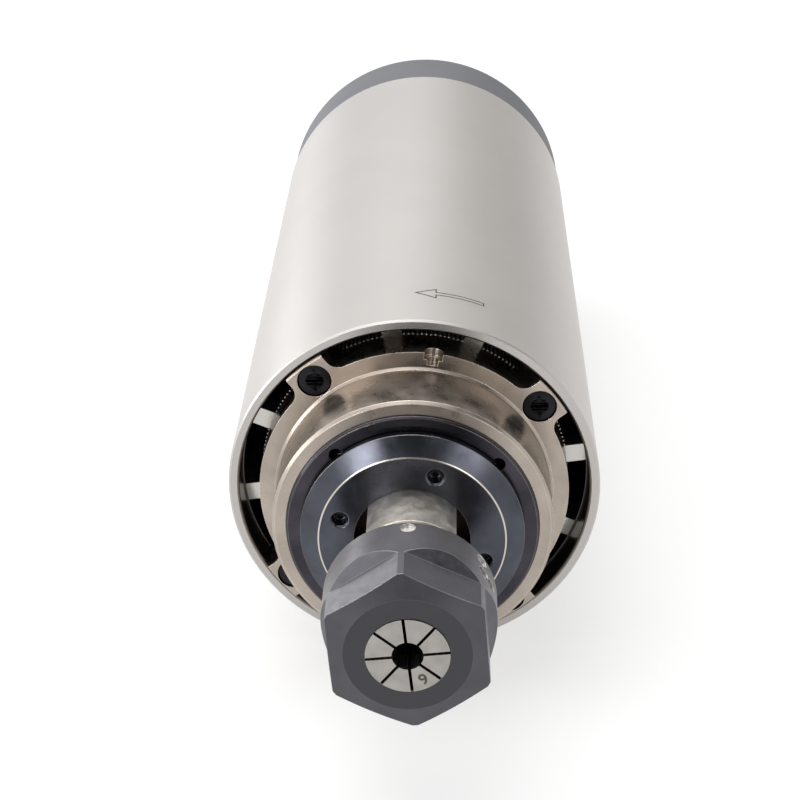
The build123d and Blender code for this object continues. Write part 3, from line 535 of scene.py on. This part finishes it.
def winding_finish(colours, sizes):
    """Enamelled copper wire, wound and varnished: ridged rings of wire under a clear gloss, with painted
    light on each wire and painted shade between them.
    """
    material, tree, shader, where = finish("varnished_copper_winding", colours.copper, 0.75, 0.3)
    radius, along = round_the_axis(tree, where)
    bundle = add(tree, "ShaderNodeCombineXYZ", {"X": radius, "Y": along})
    turns = add(tree, "ShaderNodeTexVoronoi",
                {"Vector": bundle.outputs["Vector"], "Scale": per(sizes.wire)})
    # Painted highlight on the middle of each wire and painted shade in the gaps between wires
    tone = add(tree, "ShaderNodeMix",
               {0: turns.outputs["Distance"], 6: shade(colours.copper, 1.3),
                7: shade(colours.copper, 0.45)}, data_type="RGBA")
    tree.links.new(tone.outputs[2], shader.inputs["Base Color"])
    bump = add(tree, "ShaderNodeBump",
               {"Height": turns.outputs["Distance"], "Distance": 0.3 * MM}, invert=True)
    tree.links.new(bump.outputs["Normal"], shader.inputs["Normal"])
    shader.inputs["Coat Weight"].default_value = 0.6
    shader.inputs["Coat Roughness"].default_value = 0.12
    return material


def nickel_finish(colours, sizes):
    """Brass panel socket, turned and nickel plated: a bright, slightly soft mirror."""
    material, tree, shader, where = finish("nickel_plated_brass_socket", colours.nickel, 1.0, 0.16)
    tree.links.new(patches(tree, where, 2 * MM, 0.12, 0.24), shader.inputs["Roughness"])
    # Painted highlight: the edges are the nickel made lighter
    lit_and_worn, rounded = edge_wear_and_highlight(tree, 0.12 * MM, colours.nickel, shade(colours.nickel, 1.2), 0.5)
    tree.links.new(lit_and_worn, shader.inputs["Base Color"])
    normal = ring_marks(tree, where, sizes.tool_mark, 0.001 * MM, rounded)
    tree.links.new(normal, shader.inputs["Normal"])
    return material


def plastic_finish(colours):
    """Glass-filled nylon, injection moulded: black with a fine spark-eroded texture."""
    material, tree, shader, where = finish("moulded_glass_filled_nylon", colours.plastic, 0.0, 0.5)
    grain = add(tree, "ShaderNodeTexNoise",
                {"Vector": where, "Scale": per(0.25 * MM), "Detail": 2.0})
    bump = add(tree, "ShaderNodeBump", {"Height": grain.outputs["Fac"], "Distance": 0.02 * MM})
    tree.links.new(bump.outputs["Normal"], shader.inputs["Normal"])
    tree.links.new(patches(tree, where, 4 * MM, 0.42, 0.58), shader.inputs["Roughness"])
    tone = clouded(tree, where, colours.plastic, 6 * MM, 0.85, 1.15)
    tree.links.new(tone, shader.inputs["Base Color"])
    shader.inputs["IOR"].default_value = 1.53
    return material


def brass_finish(colours):
    """Free-cutting brass, turned: yellow and bright with fine rings round each pin."""
    material, tree, shader, where = finish("turned_brass_pin", colours.brass, 1.0, 0.2)
    tree.links.new(patches(tree, where, 0.8 * MM, 0.15, 0.3), shader.inputs["Roughness"])
    lines = add(tree, "ShaderNodeMapping", {"Vector": where, "Scale": (0.05, 1.0, 0.05)})
    cuts = add(tree, "ShaderNodeTexNoise",
               {"Vector": lines.outputs["Vector"], "Scale": per(0.2 * MM), "Detail": 1.0})
    bump = add(tree, "ShaderNodeBump", {"Height": cuts.outputs["Fac"], "Distance": 0.005 * MM})
    tree.links.new(bump.outputs["Normal"], shader.inputs["Normal"])
    return material


def mark_finish(colours):
    """Laser-burnt line on steel: matt brown-grey with an uneven burn."""
    material, tree, shader, where = finish("laser_burnt_steel", colours.mark, 0.3, 0.6)
    tone = clouded(tree, where, colours.mark, 0.4 * MM, 0.8, 1.4)
    tree.links.new(tone, shader.inputs["Base Color"])
    return material


def looked_at(tree):
    """One for camera, mirror and glass rays, and zero for the rays that light the object."""
    path = add(tree, "ShaderNodeLightPath")
    seen = add(tree, "ShaderNodeMath",
               {0: path.outputs["Is Camera Ray"], 1: path.outputs["Is Glossy Ray"]},
               operation="MAXIMUM")
    shown = add(tree, "ShaderNodeMath",
                {0: seen.outputs["Value"], 1: path.outputs["Is Transmission Ray"]},
                operation="MAXIMUM")
    return shown.outputs["Value"]


def floor_finish(colours, stage):
    """Painted studio floor: matt and pale, lifted to white where it is looked at."""
    material, tree, shader, where = finish("painted_studio_floor", colours.floor, 0.0, 0.9)
    paint = add(tree, "ShaderNodeMix",
                {0: patches(tree, where, 300 * MM, 0.0, 1.0), 6: shade(colours.floor, 0.99),
                 7: colours.floor}, data_type="RGBA")
    tree.links.new(paint.outputs[2], shader.inputs["Base Color"])
    glow = add(tree, "ShaderNodeMath", {0: looked_at(tree), 1: stage.floor_glow},
               operation="MULTIPLY")
    white = add(tree, "ShaderNodeEmission", {"Color": (1.0, 1.0, 1.0, 1.0), "Strength": 1.0})
    mixed = add(tree, "ShaderNodeMixShader",
                {0: glow.outputs["Value"], 1: shader.outputs["BSDF"], 2: white.outputs["Emission"]})
    output = next(n for n in tree.nodes if n.bl_idname == "ShaderNodeOutputMaterial")
    tree.links.new(mixed.outputs["Shader"], output.inputs["Surface"])
    return material


def card_finish(name, tint):
    """Felt card that shapes the reflections: matt, with a faint nap."""
    material, tree, shader, where = finish("felt_" + name, tint, 0.0, 1.0)
    nap = add(tree, "ShaderNodeMix",
              {0: patches(tree, where, 20 * MM, 0.0, 1.0), 6: shade(tint, 0.9), 7: tint},
              data_type="RGBA")
    tree.links.new(nap.outputs[2], shader.inputs["Base Color"])
    return material


def dress(material, *nodes):
    """Gives CAD nodes one finish in all their material slots."""
    for node in nodes:
        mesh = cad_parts[node].data
        mesh.materials.clear()
        mesh.materials.append(material)


# ---------------------------------------------------------------- meshes

def piece(name, mesh, material, body):
    """Puts a finished mesh in the scene as a piece that rides on a body."""
    made = bpy.data.objects.new(name, mesh)
    bpy.context.scene.collection.objects.link(made)
    mesh.materials.clear()
    mesh.materials.append(material)
    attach(made, body)
    return made


def mesh_of(bm, name, sharp=30.0):
    """Finished mesh of a bmesh: doubles merged, faces outward, smooth but for its sharp edges."""
    bmesh.ops.remove_doubles(bm, verts=bm.verts, dist=1e-7)
    bmesh.ops.recalc_face_normals(bm, faces=bm.faces)
    mesh = bpy.data.meshes.new(name)
    bm.to_mesh(mesh)
    bm.free()
    mesh.shade_smooth()
    mesh.set_sharp_from_angle(angle=math.radians(sharp))
    return mesh


def join(bm, other):
    """Adds another bmesh to this one, and frees it."""
    spare = bpy.data.meshes.new("spare")
    other.to_mesh(spare)
    other.free()
    bm.from_mesh(spare)
    bpy.data.meshes.remove(spare)


def line_of(bm, corners):
    """Chain of edges through (radius, y) corners in millimetres, in the XY plane."""
    verts = [bm.verts.new((radius * MM, y * MM, 0.0)) for radius, y in corners]
    return [bm.edges.new(pair) for pair in zip(verts, verts[1:])]


def turn_on_axis(bm, edges):
    """Spins edges a full turn round the axis of the spindle."""
    bmesh.ops.spin(bm, geom=bm.verts[:] + edges, cent=(0, 0, 0), axis=SPIN_AXIS,
                   angle=math.tau, steps=LATHE_STEPS, use_merge=True)


def thread(bm, root, crest, pitch, front, rear, steps=48):
    """Helical ridge round the axis from front to rear, run out to nothing at both ends."""
    turns = (rear - front) / pitch - 1.0
    foot = 0.45 * pitch
    corners = [(root, front), (crest, front + foot - 0.06 * pitch),
               (crest, front + foot + 0.06 * pitch), (root, front + 2 * foot)]
    verts = [bm.verts.new((radius, y, 0.0)) for radius, y in corners]
    profile = bm.faces.new(verts)
    count = round(turns * steps)
    bmesh.ops.spin(bm, geom=[profile] + profile.edges[:] + verts, cent=(0, 0, 0), axis=SPIN_AXIS,
                   dvec=(0, (rear - front - pitch) / count, 0), angle=math.tau * turns, steps=count)
    for vert in bm.verts:
        radius = math.hypot(vert.co.x, vert.co.z)
        if radius > root + 1e-7:
            reach = min(vert.co.y - front, rear - vert.co.y) / (0.9 * pitch)
            height = (crest - root) * max(0.02, min(1.0, reach))
            vert.co.x *= (root + height) / radius
            vert.co.z *= (root + height) / radius


def character(body, size, thickness):
    """Mesh of one bold character, centred on the origin in the XY plane, with a given height."""
    curve = bpy.data.curves.new("character", "FONT")
    curve.body = body
    curve.offset = 0.02
    curve.extrude = 0.5 * thickness / size
    holder = bpy.data.objects.new("character", curve)
    bpy.context.scene.collection.objects.link(holder)
    bpy.context.view_layer.update()
    mesh = bpy.data.meshes.new_from_object(holder.evaluated_get(bpy.context.evaluated_depsgraph_get()))
    bpy.data.objects.remove(holder)
    low = Vector([min(v.co[i] for v in mesh.vertices) for i in range(3)])
    high = Vector([max(v.co[i] for v in mesh.vertices) for i in range(3)])
    mesh.transform(Matrix.Scale(size / (high.y - low.y), 4) @ Matrix.Translation(-(low + high) / 2))
    bm = bmesh.new()
    bm.from_mesh(mesh)
    bpy.data.meshes.remove(mesh)
    return mesh_of(bm, "character")


# ---------------------------------------------------------------- operators

def stage_sheet(name, reach, matrix, material):
    """Flat rectangle of the stage, with its reach each way from its middle, moved by a matrix."""
    bm = bmesh.new()
    bmesh.ops.create_grid(bm, x_segments=2, y_segments=2, size=1.0)
    bmesh.ops.scale(bm, verts=bm.verts, vec=(*reach, 1.0))
    bmesh.ops.transform(bm, verts=bm.verts, matrix=matrix)
    mesh = bpy.data.meshes.new(name)
    bm.to_mesh(mesh)
    bm.free()
    mesh.materials.append(material)
    made = bpy.data.objects.new(name, mesh)
    bpy.context.scene.collection.objects.link(made)
    return made


class SPINDLE_OT_stage(bpy.types.Operator):
    """Set the floor, the room, the five soft lamps, the three cards and the camera"""

    bl_idname = "spindle.stage"
    bl_label = "Stage"

    def execute(self, context):
        scene = context.scene
        colours, stage = scene.spindle_colours, scene.spindle_stage
        floor = stage_sheet("studio_floor", (FLOOR_REACH, FLOOR_REACH),
                            Matrix.Translation((0, 0, cad_box[0][2])), floor_finish(colours, stage))

        world = bpy.data.worlds.new("studio_room")
        world.use_nodes = True
        tree = world.node_tree
        tree.nodes.clear()
        level = add(tree, "ShaderNodeMapRange",
                    {"Value": looked_at(tree), "To Min": stage.world_level, "To Max": 1.0})
        room = add(tree, "ShaderNodeBackground",
                   {"Color": (1.0, 1.0, 1.0, 1.0), "Strength": level.outputs["Result"]})
        add(tree, "ShaderNodeOutputWorld", {"Surface": room.outputs["Background"]})
        scene.world = world

        for name, place, size, power in (
                ("top_lamp", Vector((-0.25, 0.25, 1.3)), 1.4, stage.top_power),
                ("left_lamp", Vector((-0.75, 0.85, 0.25)), 0.4, stage.left_power),
                ("side_lamp", Vector((-0.95, -0.05, 0.25)), 0.4, stage.side_power),
                ("front_left_lamp", Vector((-0.52, -0.74, 0.42)), 0.3, stage.front_left_power),
                ("front_right_lamp", Vector((0.56, -0.74, 0.42)), 0.3, stage.front_right_power)):
            lamp = bpy.data.lights.new(name, "AREA")
            lamp.size = size
            lamp.energy = power
            holder = bpy.data.objects.new(name, lamp)
            holder.location = place
            holder.rotation_euler = (-place).to_track_quat("-Z", "Y").to_euler()
            holder.visible_camera = False
            scene.collection.objects.link(holder)

        for name, place, size, tint in (
                ("dark_card", Vector((0.0, -0.72, 0.3)), (0.3, 0.31), colours.flag),
                ("grey_card", Vector((0.42, 0.9, 0.34)), (0.34, 0.3), colours.grey_card),
                ("side_card", Vector((0.6, -0.28, 0.72)), (0.3, 0.3), colours.side_card)):
            facing = (-place).to_track_quat("Z", "Y").to_matrix().to_4x4()
            card = stage_sheet(name, size, Matrix.Translation(place) @ facing, card_finish(name, tint))
            card.visible_camera = False
            card.visible_diffuse = False
            card.visible_transmission = False
            card.visible_shadow = False

        camera = bpy.data.cameras.new("camera")
        camera.lens = stage.lens
        camera.sensor_width = 36.0
        camera.clip_start = 0.01
        camera.dof.use_dof = False
        holder = bpy.data.objects.new("camera", camera)
        holder.location = CAMERA_PLACE
        holder.rotation_euler = [math.radians(turn) for turn in CAMERA_TURN]
        scene.collection.objects.link(holder)
        scene.camera = holder
        scene.view_settings.view_transform = "Standard"
        return {"FINISHED"}


class SPINDLE_OT_body(bpy.types.Operator):
    """Finish the body tube, the rear cap and the finned core"""

    bl_idname = "spindle.body"
    bl_label = "Body, cap and core"

    def execute(self, context):
        colours, sizes = settings()
        dress(tube_finish(colours, sizes), "outer_shell")
        dress(cap_finish(colours, sizes), "rear_cap")
        dress(core_finish(colours, sizes), "inner_housing")
        return {"FINISHED"}


class SPINDLE_OT_nose(bpy.types.Operator):
    """Finish the nose flange, the gland ring, the dust flange and the screws"""

    bl_idname = "spindle.nose"
    bl_label = "Nose flange and rings"

    def execute(self, context):
        colours, sizes = settings()
        dress(flange_finish(colours, sizes), "front_flange", "rear_bearing_housing")
        dress(oxide_finish("gland_ring_black_oxide", colours.gland, colours, sizes), "gland_ring")
        dress(oxide_finish("dust_flange_black_oxide", colours.oxide, colours, sizes),
              "dust_flange", "rear_lock_nut")
        dress(screw_finish(colours, sizes), "rear_housing_screws", "fan_screw")
        return {"FINISHED"}


class SPINDLE_OT_motor(bpy.types.Operator):
    """Finish the bearings, the stator, the rotor, the fan and the spring"""

    bl_idname = "spindle.motor"
    bl_label = "Bearings and motor"

    def execute(self, context):
        colours, sizes = settings()
        dress(race_finish(colours, sizes), "front_bearing_outers", "front_bearing_inners",
              "rear_bearing_outer", "rear_bearing_inner", "outer_spacer", "inner_spacer",
              "preload_spring")
        dress(lamination_finish(colours, sizes), "stator_core", "rotor_core", "rotor_end_rings")
        dress(winding_finish(colours, sizes), "stator_windings")
        dress(plastic_finish(colours), "cooling_fan", "socket_insert")
        return {"FINISHED"}


class SPINDLE_OT_socket(bpy.types.Operator):
    """Finish the panel socket, its nut and its pins"""

    bl_idname = "spindle.socket"
    bl_label = "Panel socket"

    def execute(self, context):
        colours, sizes = settings()
        dress(nickel_finish(colours, sizes), "power_socket", "socket_nut")
        dress(brass_finish(colours), "socket_pins")
        return {"FINISHED"}


class SPINDLE_OT_collet(bpy.types.Operator):
    """Finish the collet nut, its ring and the collet"""

    bl_idname = "spindle.collet"
    bl_label = "Nut and collet"

    def execute(self, context):
        colours, sizes = settings()
        dress(nut_finish(colours, sizes), "collet_nut", "nut_extraction_ring")
        dress(collet_finish(colours, sizes), "collet")
        return {"FINISHED"}


def wrench_flats(bm, reach):
    """Presses two flats on the shaft, back to planes at a reach from the axis."""
    for vert in bm.verts:
        if FLATS[0] * MM < vert.co.y < FLATS[1] * MM and abs(vert.co.x) > reach:
            vert.co.x = math.copysign(reach, vert.co.x)


class SPINDLE_OT_shaft_nose(bpy.types.Operator):
    """Model the shaft with its rolled nose thread and its wrench flats"""

    bl_idname = "spindle.shaft_nose"
    bl_label = "Shaft"

    def execute(self, context):
        colours, sizes = settings()
        low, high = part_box("shaft")
        front, rear = low.y / MM, high.y / MM
        root = sizes.thread_root / MM
        bm = bmesh.new()
        outline = line_of(bm, (
            (0.0, -13.79), (6.5, -17.7), (6.5, -31.7), (7.08, -31.7), (10.2, front),
            (root, front), (root, -39.02), (root, -39.0), (root, -35.0), (11.4, -34.9),
            (11.4, -33.9), (11.9, -33.8), (12.0, -33.7), (12.0, -14.0), (12.0, -13.98),
            (12.0, -12.0), (12.5, -12.0), (12.5, 16.0), (15.5, 16.0), (15.5, 20.0),
            (12.0, 20.0), (12.0, 34.0), (10.0, 34.0), (10.0, 124.0), (9.0, 124.0),
            (9.0, 145.0), (7.5, 145.0), (7.5, 160.0), (6.0, 160.0), (5.5, rear - 0.5),
            (5.5, rear), (2.55, rear), (2.55, 158.0), (0.0, 158.0)))
        turn_on_axis(bm, outline)
        wrench_flats(bm, sizes.across_flats / 2)
        ridge = bmesh.new()
        thread(ridge, sizes.thread_root - 0.02 * MM, NOSE_THREAD_CREST * MM, sizes.thread_pitch,
               low.y + 0.1 * MM, NOSE_THREAD_END * MM)
        # The ridge ends a hair under the flats, inside the shaft
        wrench_flats(ridge, sizes.across_flats / 2 - 0.03 * MM)
        join(bm, ridge)
        made = piece("shaft_with_thread", mesh_of(bm, "shaft_with_thread"),
                     shaft_finish(colours, sizes), "rotor")
        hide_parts("shaft")
        return {"FINISHED"}


def socket_screw(bm, sizes, place, shank, rearward):
    """One socket head screw: its head's outer face is at place, and it points along the axis."""
    head, height, width, depth = 3.5 * MM, SCREW_HEAD * MM, 3.0 * MM, 2.2 * MM
    edge, bevel, sides = sizes.head_edge, sizes.socket_bevel, 72
    own = bmesh.new()

    def circle(radius, level, knurl=0.0):
        ring = bmesh.ops.create_circle(own, segments=sides, radius=radius,
                                       matrix=Matrix.Translation((0, 0, -level)))["verts"]
        for vert in ring[::2]:
            vert.co.x *= 1.0 - knurl / radius
            vert.co.y *= 1.0 - knurl / radius
        return list({e for v in ring for e in v.link_edges})

    def hexagon(level):
        ring = bmesh.ops.create_circle(own, segments=6, radius=width / math.sqrt(3),
                                       matrix=Matrix.Translation((0, 0, -level)))["verts"]
        edges = list({e for v in ring for e in v.link_edges})
        cut = bmesh.ops.subdivide_edges(own, edges=edges, cuts=sides // 6 - 1)
        return [g for g in cut["geom_split"] if isinstance(g, bmesh.types.BMEdge)]

    floor, mouth = hexagon(depth), hexagon(0.15 * MM)
    sink = circle(width / 2 + bevel, 0.15 * MM)
    rings = [sink, circle(width / 2 + bevel + 0.15 * MM, 0.0), circle(head - edge, 0.0),
             circle(head - edge * 0.3, edge * 0.3), circle(head, edge),
             circle(head, edge + 0.15 * MM, sizes.head_knurl),
             circle(head, height - 0.25 * MM, sizes.head_knurl), circle(head - 0.1 * MM, height),
             circle(2.0 * MM, height), circle(2.0 * MM, height + shank - 0.4 * MM),
             circle(1.6 * MM, height + shank)]
    for first, second in zip(rings, rings[1:]):
        bmesh.ops.bridge_loops(own, edges=first + second)
    bmesh.ops.bridge_loops(own, edges=floor + mouth)
    bmesh.ops.triangle_fill(own, edges=mouth + sink, use_beauty=True)
    for loop in (floor, rings[-1]):
        bmesh.ops.contextual_create(own, geom=loop)
    turn = Matrix.Rotation(math.radians(90 if rearward else -90), 4, "X")
    bmesh.ops.transform(own, verts=own.verts, matrix=Matrix.Translation(place) @ turn)
    join(bm, own)


class SPINDLE_OT_screws(bpy.types.Operator):
    """Model the socket head screws of the nose flange and of the rear cap"""

    bl_idname = "spindle.screws"
    bl_label = "Socket screws"

    def execute(self, context):
        colours, sizes = settings()
        material = screw_finish(colours, sizes)
        for node, start, rearward in (("flange_screws", EAR_ANGLE, True),
                                      ("cap_screws", CAP_SCREW_ANGLE, False)):
            low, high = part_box(node)
            shank = high.y - low.y - SCREW_HEAD * MM
            bm = bmesh.new()
            for index in range(4):
                way = math.radians(start + QUARTER * index)
                place = Vector((SCREW_CIRCLE * MM * math.cos(way), low.y if rearward else high.y,
                                SCREW_CIRCLE * MM * math.sin(way)))
                socket_screw(bm, sizes, place, shank, rearward)
            made = piece(node + "_knurled", mesh_of(bm, node + "_knurled"), material, "housing")
            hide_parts(node)
        return {"FINISHED"}


class SPINDLE_OT_bore_step(bpy.types.Operator):
    """Model the bright step in the tube's bore, in front of the rib ends, between the ears"""

    bl_idname = "spindle.bore_step"
    bl_label = "Bore step"

    def execute(self, context):
        colours, sizes = settings()
        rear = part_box("inner_housing")[0].y / MM - 0.04
        front = rear - sizes.step_width / MM
        inner = TUBE_BORE - sizes.step_height / MM
        bm = bmesh.new()
        for index in range(4):
            start = math.radians(EAR_ANGLE + QUARTER * index + STEP_START)
            verts = [bm.verts.new((r * MM, y * MM, 0.0)) for r, y in (
                (TUBE_BORE, front), (inner + 0.1, front), (inner, front + 0.1), (inner, rear),
                (TUBE_BORE, rear))]
            section = bm.faces.new(verts)
            bmesh.ops.rotate(bm, verts=verts, cent=(0, 0, 0), matrix=Matrix.Rotation(-start, 3, "Y"))
            bmesh.ops.spin(bm, geom=[section] + section.edges[:] + verts, cent=(0, 0, 0),
                           axis=SPIN_AXIS, angle=math.radians(STEP_SWEEP), steps=48)
        piece("bore_step", mesh_of(bm, "bore_step"), tube_finish(colours, sizes), "housing")
        return {"FINISHED"}


class SPINDLE_OT_arrow(bpy.types.Operator):
    """Mark the direction of rotation on the body tube"""

    bl_idname = "spindle.arrow"
    bl_label = "Rotation arrow"

    def execute(self, context):
        colours, sizes = settings()
        head, tail = sizes.arrow_head, sizes.arrow_head + sizes.arrow_tail
        wide, slim = sizes.arrow_head_width / 2, sizes.arrow_tail_width / 2
        bm = bmesh.new()
        verts = [bm.verts.new((x, y, 0.0)) for x, y in (
            (0.0, 0.0), (head, -wide), (head, -slim), (tail, -slim), (tail, slim), (head, slim),
            (head, wide))]
        outline = bm.faces.new(verts)
        bm.normal_update()
        bmesh.ops.inset_region(bm, faces=[outline], thickness=sizes.arrow_line,
                               use_even_offset=True, use_boundary=True)
        bmesh.ops.delete(bm, geom=[outline], context="FACES")
        lines = bmesh.ops.extrude_face_region(bm, geom=bm.faces[:])["geom"]
        bmesh.ops.translate(bm, verts=[g for g in lines if isinstance(g, bmesh.types.BMVert)],
                            vec=(0, 0, sizes.mark_height))
        for cut in range(1, 30):
            bmesh.ops.bisect_plane(bm, geom=bm.verts[:] + bm.edges[:] + bm.faces[:],
                                   plane_co=(tail * cut / 30, 0, 0), plane_no=(1, 0, 0))
        # Bends the flat arrow round the tube
        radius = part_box("outer_shell")[1].x
        for vert in bm.verts:
            way = sizes.arrow_angle - vert.co.x / radius
            reach = radius + vert.co.z
            vert.co = (reach * math.cos(way), vert.co.y + sizes.arrow_place, reach * math.sin(way))
        piece("rotation_arrow", mesh_of(bm, "rotation_arrow"), mark_finish(colours), "housing")
        return {"FINISHED"}


class SPINDLE_OT_socket_thread(bpy.types.Operator):
    """Model the thread on the sleeve of the panel socket"""

    bl_idname = "spindle.socket_thread"
    bl_label = "Socket thread"

    def execute(self, context):
        colours, sizes = settings()
        bm = bmesh.new()
        thread(bm, SOCKET_THREAD_ROOT * MM, sizes.socket_crest, sizes.socket_pitch,
               SOCKET_THREAD_FRONT * MM,
               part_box("power_socket")[1].y - 0.3 * MM)
        piece("socket_thread", mesh_of(bm, "socket_thread"), nickel_finish(colours, sizes), "housing")
        return {"FINISHED"}


class SPINDLE_OT_numeral(bpy.types.Operator):
    """Mark the collet's bore size on its face"""

    bl_idname = "spindle.numeral"
    bl_label = "Collet numeral"

    def execute(self, context):
        colours, sizes = settings()
        mesh = character("6", sizes.numeral_height, 2 * sizes.mark_height)
        # The collet's front face looks along -Y; the numeral's top points away from the axis
        upright = Matrix.Rotation(math.radians(90), 4, "X")
        turn = Matrix.Rotation(math.radians(90) - sizes.numeral_angle, 4, "Y")
        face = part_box("collet")[0].y
        reach = Matrix.Translation((0, face, sizes.numeral_radius))
        mesh.transform(turn @ reach @ upright)
        piece("collet_numeral", mesh, mark_finish(colours), "collet_body")
        return {"FINISHED"}


class SPINDLE_PT_panel(bpy.types.Panel):
    """Lists the steps that dress the spindle"""

    bl_idname = "SPINDLE_PT_panel"
    bl_label = "Motor spindle"
    bl_space_type = "VIEW_3D"
    bl_region_type = "UI"
    bl_category = "Spindle"

    def draw(self, context):
        for step in STEPS:
            self.layout.operator(step.bl_idname)
        for group in (*settings(), context.scene.spindle_stage):
            box = self.layout.box()
            for name in group.__annotations__:
                box.prop(group, name)


STEPS = (
    SPINDLE_OT_stage,
    SPINDLE_OT_body,
    SPINDLE_OT_nose,
    SPINDLE_OT_motor,
    SPINDLE_OT_socket,
    SPINDLE_OT_socket_thread,
    SPINDLE_OT_collet,
    SPINDLE_OT_shaft_nose,
    SPINDLE_OT_screws,
    SPINDLE_OT_bore_step,
    SPINDLE_OT_arrow,
    SPINDLE_OT_numeral,
)
CLASSES = (SpindleColours, SpindleSizes, SpindleStage) + STEPS + (SPINDLE_PT_panel,)


def register():
    for cls in CLASSES:
        bpy.utils.register_class(cls)
    bpy.types.Scene.spindle_colours = bpy.props.PointerProperty(type=SpindleColours)
    bpy.types.Scene.spindle_sizes = bpy.props.PointerProperty(type=SpindleSizes)
    bpy.types.Scene.spindle_stage = bpy.props.PointerProperty(type=SpindleStage)


def unregister():
    del bpy.types.Scene.spindle_colours
    del bpy.types.Scene.spindle_sizes
    del bpy.types.Scene.spindle_stage
    for cls in reversed(CLASSES):
        bpy.utils.unregister_class(cls)


def main():
    register()
    for step in STEPS:
        group, name = step.bl_idname.split(".")
        if getattr(getattr(bpy.ops, group), name)() != {"FINISHED"}:
            raise RuntimeError(f"{step.bl_label} did not finish")


if __name__ == "__main__":
    main()
